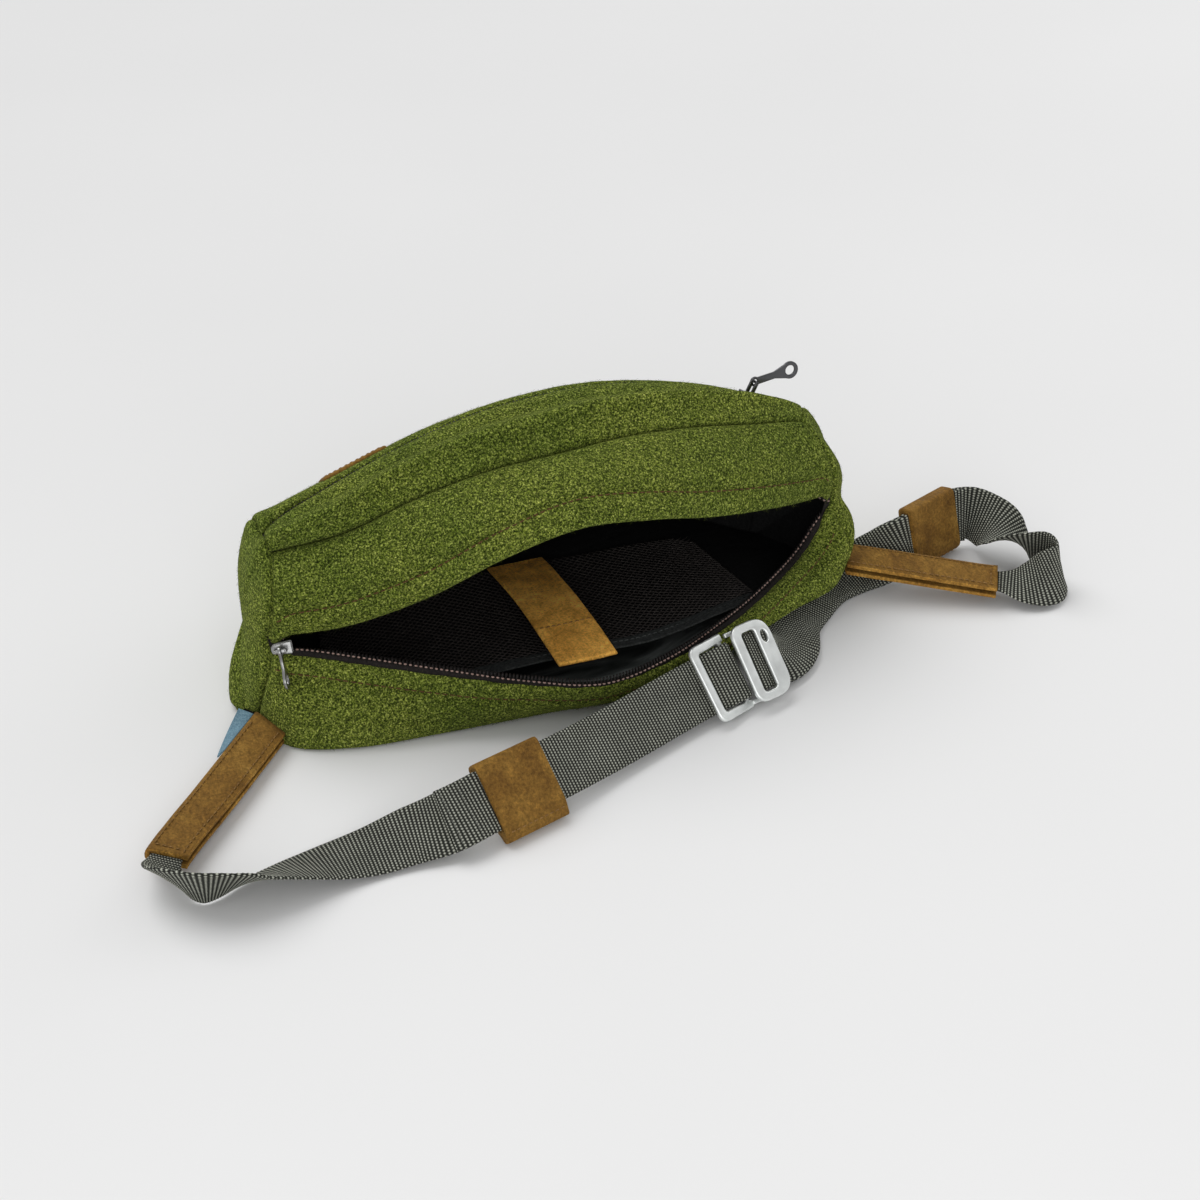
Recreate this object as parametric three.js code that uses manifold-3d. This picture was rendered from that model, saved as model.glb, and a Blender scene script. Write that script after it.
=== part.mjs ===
// A hip bag of green wool felt with leather trim and a webbing belt.
// It lies on its back panel with the main zip open and the belt buckled in front of it.
// Millimetres, +Z up. X runs along the bag, Y from the zip side to the far side.
// The origin is the middle of the back panel's outer face.
import * as THREE from 'three';
import { mergeVertices } from 'three/addons/utils/BufferGeometryUtils.js';
import Module from 'manifold-3d';

const wasm = await Module();
wasm.setup();

// Wall thicknesses
const FELT = 2.4;
const LINING = 1.0;
const LEATHER = 1.9;
const NET = 1.0;
const TAPE = 1.0;
const WEBBING = 1.4;
const LABEL = 1.0;

// Gaps: between pieces that touch, and from a felt edge back to its seam
const CLEAR = 0.3;
const SEAM_PULL = 0.25;

// Cross-sections of the bag, from its left end to its right end
const COLUMNS = [
  'backY', 'backZ', 'nearY', 'nearZ', 'farY', 'farZ',
  'ridgeY', 'ridgeZ', 'crestY', 'crestZ', 'baseY', 'baseZ',
];
const SECTIONS = [
  [7, 0, -2, 36.5, 0, 43, 10, 78, 21.5, 82, 58, 20],
  [-17, 0, -5, 38, -2, 44, 10, 78.5, 24.5, 86.5, 68, 21],
  [-27, 0, -15, 35, -8, 47, 10, 81, 31.5, 92, 88, 23],
  [-30, 0, -27, 29, -14, 57, 10, 91, 39, 99, 104, 25],
  [-31, 0, -40, 24.5, -19, 72.5, 10, 98, 41, 107, 113, 26],
  [-32, 0, -46, 19.5, -22, 82, 10, 100, 42, 110.5, 116, 26],
  [-33, 1, -40, 20, -20, 77.5, 10, 102, 42, 110.5, 113, 26],
  [-29, 9, -25, 20.5, -14, 68, 11, 100, 42, 105, 105, 25],
  [-18, 14, -6, 23, -4, 59, 14, 94, 41, 96, 90, 23],
  [-9, 14, 8, 28.5, 7, 51.5, 18, 89, 40, 84, 70, 21],
  [3, 14, 12, 42, 12, 49, 20, 86.5, 40, 78, 60, 20],
];
// Place of each cross-section, as a share of a seam's reach to the left or right
const STATIONS = [-1, -0.93, -0.75, -0.5, -0.25, 0, 0.25, 0.5, 0.75, 0.92, 1];

// Seams that run along the bag: columns that give y and z, and the reach to the left and right
const POCKET_GAP = 5.6;
const POCKET_FALL = 1.2;
const BASE_LEAN = 2;
const SEAMS = {
  back: { y: 'backY', z: 'backZ', left: 135, right: 132 },
  zipNear: { y: 'nearY', z: 'nearZ', left: 127, right: 124.5 },
  zipFar: { y: 'farY', z: 'farZ', left: 128, right: 126 },
  ridge: { y: 'ridgeY', z: 'ridgeZ', left: 122, right: 116 },
  crestNear: { y: 'crestY', z: 'crestZ', left: 123, right: 120, dy: -POCKET_GAP / 2 },
  crestFar: { y: 'crestY', z: 'crestZ', left: 123, right: 120, dy: POCKET_GAP / 2, dz: -POCKET_FALL },
  baseTop: { y: 'baseY', z: 'baseZ', left: 114, right: 114 },
  baseBottom: { y: 'baseY', z: null, left: 112, right: 112, dy: BASE_LEAN },
};

// Panels between two seams: grid rows, outward swell, sideways swell of the left and right end,
// and skew, which moves the fullest place towards the second seam
const PANELS = {
  felt_top_near: { from: 'back', to: 'zipNear', rows: 3, swell: 3, left: 2, right: 5.5, skew: 1 },
  felt_top_far: { from: 'zipFar', to: 'ridge', rows: 4, swell: 6, left: 0, right: 3.5, skew: 1 },
  felt_front_upper: { from: 'ridge', to: 'crestNear', rows: 4, swell: 4.5, left: 0, right: 2, skew: 1 },
  pocket_zip: { from: 'crestNear', to: 'crestFar', rows: 1, swell: 0, left: 0, right: 0, skew: 1 },
  felt_front_lower: { from: 'crestFar', to: 'baseTop', rows: 4, swell: 8, left: 3, right: 2, skew: 1 },
  felt_base: { from: 'baseTop', to: 'baseBottom', rows: 1, swell: 0, left: 0, right: 0, skew: 1 },
  felt_back: { from: 'baseBottom', to: 'back', rows: 3, swell: 0, left: 13, right: 0, skew: 2 },
};
const COLS = 20;
const END_SWELL_POWER = 3;

// Shoulder of the lower front panel: extra fullness beside the pocket zip at its left end
const SHOULDER = { panel: 'felt_front_lower', swell: 10.5, run: 0.3, fade: 1.9, skew: 0.45 };

// Gussets at both ends: fullness and rings between the rim and the middle
const SIDE_SWELL = { left: 8, right: 13 };
const SIDE_SWELL_POWER = 3;
const SIDE_RINGS = [0.72, 0.4];

// Main zip: tape and coil along both edges of the mouth
const TAPE_REACH = 5.2;
const TAPE_BEND = 1.6;
const TAPE_HEM = 0.1;
const COIL_WIDE = 1.8;
const COIL_THICK = 2.2;
const TAPE_FIRST_COL = 1;
const TAPE_LEAST = 0.15;

// Pocket zip, set a little below the felt
const POCKET_TAPE_DEPTH = 0.5;
const POCKET_TAPE_THICK = 1.4;

// Zip sliders and pulls: place along the seam as a share of it, and resting angle of each pull
const SLIDER = { long: 8.5, wide: 5.4, thick: 3 };
const BRIDGE = { span: 5.4, bar: 1.1, wide: 1.6, rise: 3.2 };
const PULL = { thick: 1.2, eye: 1.15, root: 2.2, neck: 1.5, ring: 3.9, hole: 2.2 };
const PULL_WAIST = 0.45;
const MAIN_SLIDER_AT = 0.062;
const MAIN_PULL_LONG = 16;
const MAIN_PULL_HANG = 179;
const POCKET_SLIDER_AT = 0.84;
const POCKET_PULL_LONG = 21;
const POCKET_PULL_RAISE = 38;

// Lining pieces that show in the mouth
const LINING_PULL = 0.4;
const LINING_GAP = 0.45;
const NET_POCKET = { from: 0.17, to: 0.77, mouth: 0.17, end: 0.69, rise: 8, lift: 4.25, cols: 10, rows: 4 };
const BINDING = { mouth: 0.11, gap: 0.003 };
const KEY_STRIP = { wide: 26, nearY: -27, nearZ: 19, farY: 70, farZ: 5.6, hump: 3, steps: 6 };

// Leather patch on the front panel, as grid columns and rows of that panel
const PATCH = { cols: [4, 6], rows: [0, 1], pull: 1.5 };

// Belt wings: leather folded round the belt's sewn-in end. The fold is on the far edge,
// and skew is how much longer that edge is at the felt.
const WING = { wide: 17, slot: 2.0 };
const WING_ROWS = 2;
const WINGS = {
  left: { root: [-133.6, -8.8, 5.4], tip: [-187.5, -74, 7.2], rolls: [-10, -8], fold: -1, skew: 6.5 },
  right: { root: [136.8, 10.2, 15.4], tip: [196, -20.5, 8.6], rolls: [4, 8], fold: 1, skew: 2 },
};
const TAB = { wide: 7, long: 25 };

// Belt webbing: middle line, roll about it and width, from each wing to the buckle.
// A roll above zero lifts the edge that lies to the left of the way it runs.
const BELT = 25;
const BELT_SEWN = 12.4;
const LEFT_BELT = [
  { at: [-190.5, -84, 9.5], roll: -36, wide: 18 },
  { at: [-187.5, -94, 12], roll: -62, wide: 23 },
  { at: [-180, -100.5, 12.3], roll: -68, wide: BELT },
  { at: [-170, -101.5, 11.4], roll: -58, wide: BELT },
  { at: [-158, -99, 8.8], roll: -38, wide: BELT },
  { at: [-146, -96.5, 6.4], roll: -24, wide: BELT },
  { at: [-131, -94, 3.8], roll: -9, wide: BELT },
  { at: [-113, -93, 3.6], roll: 7, wide: BELT },
  { at: [-97, -93.4, 7], roll: 22, wide: BELT },
  { at: [-82, -95.5, 11.5], roll: 38, wide: BELT },
  { at: [-66, -92.5, 14.2], roll: 45, wide: BELT },
  { at: [-52, -88.2, 14.4], roll: 45, wide: BELT },
  { at: [-38, -83.9, 14.2], roll: 45, wide: BELT },
  { at: [-9, -71.5, 12], roll: 45, wide: BELT },
  { at: [35, -54, 12], roll: 46, wide: BELT },
  { at: [55, -47, 12.4], roll: 47, wide: BELT },
];
const RIGHT_BELT = [
  { at: [207, -26.5, 8.4], roll: 26, wide: 20 },
  { at: [217.5, -29.5, 11.2], roll: 56, wide: 24.5 },
  { at: [224.6, -25.5, 13], roll: 74, wide: BELT },
  { at: [223.5, -15.5, 13.6], roll: 82, wide: BELT },
  { at: [217, -6, 14], roll: 52, wide: BELT },
  { at: [213.5, 4, 14.4], roll: 0, wide: BELT },
  { at: [211, 14.5, 15], roll: -52, wide: BELT },
  { at: [206, 24, 15.4], roll: -73, wide: BELT },
  { at: [197.8, 25.9, 15.4], roll: -75, wide: BELT },
  { at: [190, 22.9, 15.4], roll: -74, wide: BELT },
  { at: [182, 19.7, 15.4], roll: -74, wide: BELT },
  { at: [174, 16.5, 15.4], roll: -74, wide: BELT },
  { at: [166, 13.2, 15.2], roll: -71, wide: BELT },
  { at: [155, 13.5, 9.4], roll: -44, wide: BELT },
  { at: [141.9, 13.9, 5], roll: -20, wide: BELT },
  { at: [125.3, 9, 3.6], roll: -11, wide: BELT },
  { at: [111.2, -1.9, 3.6], roll: -11, wide: BELT },
  { at: [99.6, -13.4, 3.8], roll: -12, wide: BELT },
  { at: [91.6, -29.2, 4.6], roll: -16, wide: BELT },
  { at: [83, -37.7, 8], roll: -32, wide: BELT },
  { at: [73.5, -41.3, 11.9], roll: -45, wide: BELT },
  { at: [64.3, -44.4, 12.4], roll: -47, wide: BELT },
];
const BELT_STEPS = 3;
const HAIRPIN = 2.8;
const HAIRPIN_STEPS = 6;
const LAY = 1.9;
const LAY_RUN = 16;
const LEFT_TAIL = 148;
const RIGHT_TAIL = 170;

// Leather keepers: belt row at the middle of each, its sewn edge (1 is left of the belt's run) and flange
const KEEPER = { long: 29, room: 0.55, corner: 1.2 };
const KEEPERS = {
  left: { row: 11, sewn: -1, flange: 5.5 },
  right: { row: 10, sewn: 1, flange: 1.9 },
};

// Buckle: windows for the belt, bars and rails, in the plane of the belt
const BUCKLE = { half: 17, window: 13.1, bar: 2.6, endBar: 4.4, plate: 2.4, corner: 4, long: 18, tilt: 11 };
const WINDOW_CORNER = 1.2;
const HOOK = {
  nose: 5, window: 7, plate: 8, lift: 5.2, hole: [2.2, 1.2], holeAcross: 8.5, lug: 1.8, lugGap: 1.6, bevel: 0.4,
};

const COLOURS = {
  felt: { color: 0x5a7326, roughness: 0.95, metalness: 0 },
  leather: { color: 0x8a5a26, roughness: 0.75, metalness: 0 },
  webbing: { color: 0x55554f, roughness: 0.85, metalness: 0 },
  zip: { color: 0x2a211e, roughness: 0.7, metalness: 0 },
  lining: { color: 0x2b2c2c, roughness: 0.8, metalness: 0 },
  net: { color: 0x121212, roughness: 0.8, metalness: 0 },
  gunmetal: { color: 0x3a3a3d, roughness: 0.35, metalness: 1 },
  aluminium: { color: 0xc6ccca, roughness: 0.45, metalness: 1 },
  label: { color: 0x6f93a3, roughness: 0.85, metalness: 0 },
};

const bag = new THREE.Group();
const UP = new THREE.Vector3(0, 0, 1);

function vec(p) {
  return new THREE.Vector3(...p);
}

function addMesh(name, geometry, colour, parent = bag) {
  const mesh = new THREE.Mesh(geometry, new THREE.MeshStandardMaterial(COLOURS[colour]));
  mesh.name = name;
  parent.add(mesh);
  return mesh;
}

// Closed triangle mesh from points and triangles, turned so that its faces point out
function solidGeometry(points, triangles) {
  let volume = 0;
  for (const [a, b, c] of triangles) {
    volume += points[a].dot(new THREE.Vector3().crossVectors(points[b], points[c]));
  }
  const turned = volume < 0 ? triangles.map(([a, b, c]) => [a, c, b]) : triangles;
  const geometry = new THREE.BufferGeometry();
  geometry.setAttribute('position', new THREE.Float32BufferAttribute(points.flatMap((p) => p.toArray()), 3));
  geometry.setIndex(turned.flat());
  return geometry;
}

// Solid through a row of equal loops, capped at both ends by the flat profile
function sweep(loops, profile) {
  const size = loops[0].length;
  const triangles = [];
  for (let i = 0; i + 1 < loops.length; i++) {
    for (let j = 0; j < size; j++) {
      const a = i * size + j;
      const b = i * size + ((j + 1) % size);
      triangles.push([a, b, a + size], [b, b + size, a + size]);
    }
  }
  const last = (loops.length - 1) * size;
  const clockwise = THREE.ShapeUtils.isClockWise(profile);
  for (const face of THREE.ShapeUtils.triangulateShape(profile, [])) {
    const [a, b, c] = clockwise ? face.toReversed() : face;
    triangles.push([a, c, b], [last + a, last + b, last + c]);
  }
  return solidGeometry(loops.flat(), triangles);
}

function toManifold(geometry) {
  const bare = geometry.clone();
  bare.deleteAttribute('normal');
  bare.deleteAttribute('uv');
  const merged = mergeVertices(bare);
  const vertProperties = new Float32Array(merged.attributes.position.array);
  const triVerts = new Uint32Array(merged.index.array);
  return new wasm.Manifold(new wasm.Mesh({ numProp: 3, vertProperties, triVerts }));
}

function fromManifold(solid) {
  const { vertProperties, triVerts } = solid.getMesh();
  const geometry = new THREE.BufferGeometry();
  geometry.setAttribute('position', new THREE.Float32BufferAttribute(vertProperties, 3));
  geometry.setIndex(Array.from(triVerts));
  return geometry;
}

function join(geometries) {
  return fromManifold(geometries.map(toManifold).reduce((a, b) => a.add(b)));
}

// Seams and panels

function seamCurve({ y, z, left, right, dy = 0, dz = 0 }) {
  const points = SECTIONS.map((row, i) => {
    const u = STATIONS[i];
    const x = u < 0 ? u * left : u * right;
    const height = z === null ? 0 : row[COLUMNS.indexOf(z)] + dz;
    return new THREE.Vector3(x, row[COLUMNS.indexOf(y)] + dy, height);
  });
  return new THREE.CatmullRomCurve3(points, false, 'centripetal');
}

const seams = Object.fromEntries(Object.entries(SEAMS).map(([name, row]) => [name, seamCurve(row)]));

// Point on a seam, never below the plane that the bag lies on
function seamPoint(name, t) {
  const point = seams[name].getPoint(t);
  point.z = Math.max(point.z, 0);
  return point;
}

// Shoulder's height at shares u along and s across its panel
function shoulder(u, s) {
  const { swell, run, fade, skew } = SHOULDER;
  return swell * Math.max(0, 1 - u / run) ** fade * Math.sin(Math.PI * s ** skew) * (1 - s);
}

function panelGrid({ from, to, rows, swell, left, right, skew }, name) {
  const points = [];
  const triangles = [];
  for (let j = 0; j <= rows; j++) {
    for (let i = 0; i <= COLS; i++) {
      const a = seamPoint(from, i / COLS);
      const b = seamPoint(to, i / COLS);
      const arch = j === 0 || j === rows ? 0 : Math.sin(Math.PI * (j / rows) ** skew);
      const out = new THREE.Vector3(0, a.z - b.z, b.y - a.y).normalize();
      const extra = name === SHOULDER.panel ? shoulder(i / COLS, j / rows) : 0;
      const point = a.clone().lerp(b, j / rows).addScaledVector(out, swell * arch + extra);
      const side = (2 * i) / COLS - 1;
      point.x += (side < 0 ? -left : right) * arch * Math.abs(side) ** END_SWELL_POWER;
      points.push(point);
      if (i < COLS && j < rows) {
        const k = j * (COLS + 1) + i;
        triangles.push([k, k + 1, k + COLS + 1], [k + 1, k + COLS + 2, k + COLS + 1]);
      }
    }
  }
  return { points, triangles, rows };
}

const panels = Object.fromEntries(Object.entries(PANELS).map(([name, row]) => [name, panelGrid(row, name)]));

// End gusset: rings from the loop of panel ends to a swollen middle
function sideGrid(column, outX) {
  const loop = [];
  for (const [name, { to, rows }] of Object.entries(PANELS)) {
    const panel = panels[name];
    const count = to === 'zipNear' ? rows + 1 : rows;
    for (let j = 0; j < count; j++) {
      loop.push(panel.points[j * (COLS + 1) + column]);
    }
  }
  const middle = new THREE.Vector3();
  loop.forEach((p) => middle.addScaledVector(p, 1 / loop.length));
  const softened = loop.map((p, j) => {
    const beside = loop.at(j - 1).clone().add(loop[(j + 1) % loop.length]);
    return p.clone().lerp(beside.divideScalar(2), 0.5);
  });
  const points = [...loop];
  const fullness = outX * (outX < 0 ? SIDE_SWELL.left : SIDE_SWELL.right);
  for (const ring of SIDE_RINGS) {
    const swell = new THREE.Vector3(fullness * (1 - ring ** SIDE_SWELL_POWER), 0, 0);
    softened.forEach((p) => points.push(middle.clone().lerp(p, ring).add(swell)));
  }
  points.push(middle.clone().add(new THREE.Vector3(fullness, 0, 0)));
  const size = loop.length;
  const triangles = [];
  for (let j = 0; j < size; j++) {
    const next = (j + 1) % size;
    for (let ring = 0; ring < SIDE_RINGS.length; ring++) {
      const a = ring * size;
      triangles.push([a + j, a + next, a + size + j], [a + next, a + size + next, a + size + j]);
    }
    const inner = SIDE_RINGS.length * size;
    triangles.push([inner + j, inner + next, points.length - 1]);
  }
  const facing = outX > 0 ? triangles.map(([a, b, c]) => [a, c, b]) : triangles;
  return { points, triangles: facing };
}

panels.felt_side_left = sideGrid(0, -1);
panels.felt_side_right = sideGrid(COLS, 1);

// Depth vectors: a step along one goes one millimetre in from every panel that meets there

function pointKey(p) {
  return p.toArray().map((v) => v.toFixed(3)).join();
}

function pointNormals({ points, triangles }) {
  const normals = points.map(() => new THREE.Vector3());
  for (const [a, b, c] of triangles) {
    const ab = points[b].clone().sub(points[a]);
    const face = ab.cross(points[c].clone().sub(points[a]));
    [a, b, c].forEach((i) => normals[i].add(face));
  }
  return normals.map((n) => n.normalize());
}

// Shortest vector whose dot product with each normal is -1
function depthVector(normals) {
  const depth = new THREE.Vector3();
  const relax = 0.7;
  const rounds = 60;
  for (let round = 0; round < rounds; round++) {
    normals.forEach((n) => depth.addScaledVector(n, -relax * (1 + n.dot(depth))));
  }
  return depth;
}

const meeting = new Map();
for (const panel of Object.values(panels)) {
  pointNormals(panel).forEach((normal, i) => {
    const key = pointKey(panel.points[i]);
    meeting.set(key, [...(meeting.get(key) ?? []), normal]);
  });
}
const depths = new Map([...meeting].map(([key, normals]) => [key, depthVector(normals)]));

function edgesUsedOnce(triangles) {
  const edges = new Map();
  for (const [a, b, c] of triangles) {
    for (const [p, q] of [[a, b], [b, c], [c, a]]) {
      if (!edges.delete(`${q},${p}`)) {
        edges.set(`${p},${q}`, [p, q]);
      }
    }
  }
  return [...edges.values()];
}

// Wall between two depths under a panel, its edges drawn back from the seams
function wall({ points, triangles }, outer, inner, pull) {
  const edges = edgesUsedOnce(triangles);
  const rim = new Set(edges.flat());
  const shift = points.map(() => new THREE.Vector3());
  for (const [a, b, c] of triangles) {
    const centre = points[a].clone().add(points[b]).add(points[c]).divideScalar(3);
    [a, b, c].filter((i) => rim.has(i)).forEach((i) => shift[i].add(centre.clone().sub(points[i])));
  }
  shift.forEach((s) => s.setLength(s.lengthSq() > 0 ? pull : 0));
  const layer = (depth) => points.map((p, i) => {
    const inward = depths.get(pointKey(p));
    return p.clone().addScaledVector(inward, depth).add(shift[i]);
  });
  const count = points.length;
  const faces = [...triangles];
  triangles.forEach(([a, b, c]) => faces.push([count + a, count + c, count + b]));
  edges.forEach(([a, b]) => faces.push([b, a, count + a], [b, count + a, count + b]));
  return solidGeometry([...layer(outer), ...layer(inner)], faces);
}

function mergePanels(list) {
  const points = [];
  const places = new Map();
  const triangles = [];
  for (const panel of list) {
    const renamed = panel.points.map((p) => {
      const key = pointKey(p);
      if (!places.has(key)) {
        places.set(key, points.push(p) - 1);
      }
      return places.get(key);
    });
    panel.triangles.forEach((t) => triangles.push(t.map((i) => renamed[i])));
  }
  return { points, triangles };
}

function subPanel(panel, cols, rows) {
  const points = [];
  const triangles = [];
  const width = cols[1] - cols[0] + 1;
  for (let j = rows[0]; j <= rows[1]; j++) {
    for (let i = cols[0]; i <= cols[1]; i++) {
      const k = points.push(panel.points[j * (COLS + 1) + i]) - 1;
      if (i < cols[1] && j < rows[1]) {
        triangles.push([k, k + 1, k + width], [k + 1, k + width + 1, k + width]);
      }
    }
  }
  return { points, triangles };
}

for (const [name, panel] of Object.entries(panels)) {
  if (name !== 'pocket_zip') {
    addMesh(name, wall(panel, 0, FELT, SEAM_PULL), 'felt');
  }
}
const pocketTapeInner = POCKET_TAPE_DEPTH + POCKET_TAPE_THICK;
const pocketTape = wall(panels.pocket_zip, POCKET_TAPE_DEPTH, pocketTapeInner, SEAM_PULL);
addMesh('pocket_zip', pocketTape, 'zip');

const liningDepth = FELT + LINING_GAP;
const liningPanel = mergePanels(Object.values(panels));
addMesh('lining', wall(liningPanel, liningDepth, liningDepth + LINING, LINING_PULL), 'lining');

const patchPanel = subPanel(panels.felt_front_lower, PATCH.cols, PATCH.rows);
addMesh('leather_patch', wall(patchPanel, -CLEAR - LEATHER, -CLEAR, PATCH.pull), 'leather');

// Main zip halves: tape that leaves the felt edge straight, then leans to the other half

function zipHalf(panel, edgeRow, innerRow, otherSeam) {
  const half = TAPE / 2;
  const hem = half + TAPE_HEM;
  const bead = COIL_THICK / 2;
  const free = TAPE_REACH - COIL_WIDE;
  const profile = [
    [CLEAR, half], [TAPE_BEND, hem], [free, half], [free + hem, bead], [TAPE_REACH, bead],
    [TAPE_REACH, -bead], [free + hem, -bead], [free, -half], [TAPE_BEND, -hem], [CLEAR, -half],
  ];
  const loops = [];
  for (let i = TAPE_FIRST_COL; i < COLS; i++) {
    const edge = panel.points[edgeRow * (COLS + 1) + i];
    const inner = panel.points[innerRow * (COLS + 1) + i];
    const depth = depths.get(pointKey(edge));
    const straight = edge.clone().sub(inner).normalize();
    const across = otherSeam.getPoint(i / COLS).sub(edge);
    const lean = straight.clone().add(across.clone().normalize()).normalize();
    const room = across.length() / 2 - TAPE_BEND - CLEAR * 2;
    const reach = THREE.MathUtils.clamp(room / (TAPE_REACH - TAPE_BEND), TAPE_LEAST, 1);
    const origin = edge.clone().addScaledVector(depth, FELT / 2);
    const out = depth.clone().normalize().negate();
    loops.push(profile.map(([e, n]) => {
      const far = e <= TAPE_BEND ? 0 : (e - TAPE_BEND) * reach;
      const point = origin.clone().addScaledVector(straight, Math.min(e, TAPE_BEND));
      return point.addScaledVector(lean, far).addScaledVector(out, n);
    }));
  }
  return sweep(loops, profile.map(([e, n]) => new THREE.Vector2(e, n)));
}

const nearRows = PANELS.felt_top_near.rows;
addMesh('main_zip_near', zipHalf(panels.felt_top_near, nearRows, nearRows - 1, seams.zipFar), 'zip');
addMesh('main_zip_far', zipHalf(panels.felt_top_far, 0, 1, seams.zipNear), 'zip');

// Slider with a staple-shaped bridge; local x along the staple's bar, z out of the zip

function sliderGeometry(long, wide) {
  const body = new THREE.BoxGeometry(long, wide, SLIDER.thick);
  body.translate(0, 0, -SLIDER.thick / 2);
  const { span, bar, wide: strap, rise } = BRIDGE;
  const staple = new THREE.Shape();
  staple.moveTo(-span / 2, -bar);
  staple.lineTo(-span / 2, rise);
  staple.lineTo(span / 2, rise);
  staple.lineTo(span / 2, -bar);
  staple.lineTo(span / 2 - bar, -bar);
  staple.lineTo(span / 2 - bar, rise - bar);
  staple.lineTo(-span / 2 + bar, rise - bar);
  staple.lineTo(-span / 2 + bar, -bar);
  staple.closePath();
  const bridge = new THREE.ExtrudeGeometry(staple, { depth: strap, bevelEnabled: false });
  bridge.translate(0, 0, -strap / 2);
  bridge.rotateX(Math.PI / 2);
  return join([body, bridge]);
}

// Pull: plate with an eye at its origin and a ring at its end; local y along it, x its thickness
function pullGeometry(long) {
  const { thick, eye, root, neck, ring, hole } = PULL;
  const outline = new THREE.Shape();
  outline.absarc(0, 0, root, Math.PI * 0.75, Math.PI * 2.25, false);
  outline.lineTo(neck, long * PULL_WAIST);
  outline.absarc(0, long - ring, ring, -Math.PI * 0.2, Math.PI * 1.2, false);
  outline.lineTo(-neck, long * PULL_WAIST);
  outline.closePath();
  const eyeHole = new THREE.Path();
  eyeHole.absarc(0, 0, eye, 0, Math.PI * 2, true);
  const ringHole = new THREE.Path();
  ringHole.absarc(0, long - ring, hole, 0, Math.PI * 2, true);
  outline.holes.push(eyeHole, ringHole);
  const plate = new THREE.ExtrudeGeometry(outline, { depth: thick, bevelEnabled: false, curveSegments: 6 });
  plate.translate(0, 0, -thick / 2);
  plate.rotateY(Math.PI / 2);
  return plate;
}

// Group whose local axes are the given directions
function frameGroup(origin, x, y, z) {
  const group = new THREE.Group();
  group.position.copy(origin);
  group.quaternion.setFromRotationMatrix(new THREE.Matrix4().makeBasis(x, y, z));
  bag.add(group);
  return group;
}

const PULL_AXIS = BRIDGE.rise - BRIDGE.bar / 2;

// Slider frame on a zip: x along the zip, z out of it
function zipFrame(place, along, outward, lift) {
  const x = along.clone().normalize();
  const y = new THREE.Vector3().crossVectors(outward, x).normalize();
  const z = new THREE.Vector3().crossVectors(x, y);
  return frameGroup(place.clone().addScaledVector(z, lift), x, y, z);
}

const sliderLift = SLIDER.thick + CLEAR;
const mainNear = seams.zipNear.getPoint(MAIN_SLIDER_AT);
const mainFar = seams.zipFar.getPoint(MAIN_SLIDER_AT);
const mainAlong = seams.zipNear.getTangent(MAIN_SLIDER_AT);
const mainOut = new THREE.Vector3().crossVectors(mainAlong, mainFar.clone().sub(mainNear));
const mainZip = zipFrame(mainNear.clone().lerp(mainFar, 0.5), mainAlong, mainOut, sliderLift);
addMesh('main_zip_slider', sliderGeometry(SLIDER.long, SLIDER.wide), 'gunmetal', mainZip);
const mainPull = addMesh('main_zip_pull', pullGeometry(MAIN_PULL_LONG), 'gunmetal', mainZip);
mainPull.position.z = PULL_AXIS;
mainPull.rotation.x = THREE.MathUtils.degToRad(MAIN_PULL_HANG);

const pocketNear = seams.crestNear.getPoint(POCKET_SLIDER_AT);
const pocketFar = seams.crestFar.getPoint(POCKET_SLIDER_AT);
const pocketAlong = seams.crestNear.getTangent(POCKET_SLIDER_AT);
const pocketOut = new THREE.Vector3().crossVectors(pocketAlong, pocketFar.clone().sub(pocketNear));
const pocketZip = zipFrame(pocketNear.clone().lerp(pocketFar, 0.5), pocketAlong, pocketOut, sliderLift);
const pocketSliderBody = sliderGeometry(SLIDER.wide, SLIDER.long);
const pocketSlider = addMesh('pocket_zip_slider', pocketSliderBody, 'gunmetal', pocketZip);
pocketSlider.rotation.z = Math.PI / 2;
const pocketPull = addMesh('pocket_zip_pull', pullGeometry(POCKET_PULL_LONG), 'gunmetal', pocketZip);
pocketPull.position.z = PULL_AXIS;
pocketPull.rotation.set(THREE.MathUtils.degToRad(POCKET_PULL_RAISE), 0, -Math.PI / 2, 'ZXY');

// Sheets inside the mouth, from a height function over a grid

function sheetGeometry(cols, rows, place, thick) {
  const points = [];
  const triangles = [];
  for (const lift of [thick, 0]) {
    for (let j = 0; j <= rows; j++) {
      for (let i = 0; i <= cols; i++) {
        points.push(place(i / cols, j / rows).add(new THREE.Vector3(0, 0, lift)));
      }
    }
  }
  const count = (cols + 1) * (rows + 1);
  for (let j = 0; j < rows; j++) {
    for (let i = 0; i < cols; i++) {
      const k = j * (cols + 1) + i;
      triangles.push([k, k + 1, k + cols + 1], [k + 1, k + cols + 2, k + cols + 1]);
    }
  }
  const edges = edgesUsedOnce(triangles);
  const faces = [...triangles];
  triangles.forEach(([a, b, c]) => faces.push([count + a, count + c, count + b]));
  edges.forEach(([a, b]) => faces.push([b, a, count + a], [b, count + a, count + b]));
  return solidGeometry(points, faces);
}

// Net pocket laid on the back panel: s along the bag, depth from the near seam to the far one
function netPlace(fromDepth, toDepth) {
  const { from, to, mouth, end, rise, lift } = NET_POCKET;
  return (s, t) => {
    const along = THREE.MathUtils.lerp(from, to, s);
    const depth = THREE.MathUtils.lerp(fromDepth, toDepth, t);
    const point = seamPoint('back', along).lerp(seamPoint('baseBottom', along), depth);
    const open = Math.max(0, (end - depth) / (end - mouth)) ** 2 * Math.sqrt(Math.sin(Math.PI * s));
    point.z += lift + rise * open;
    return point;
  };
}

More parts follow.
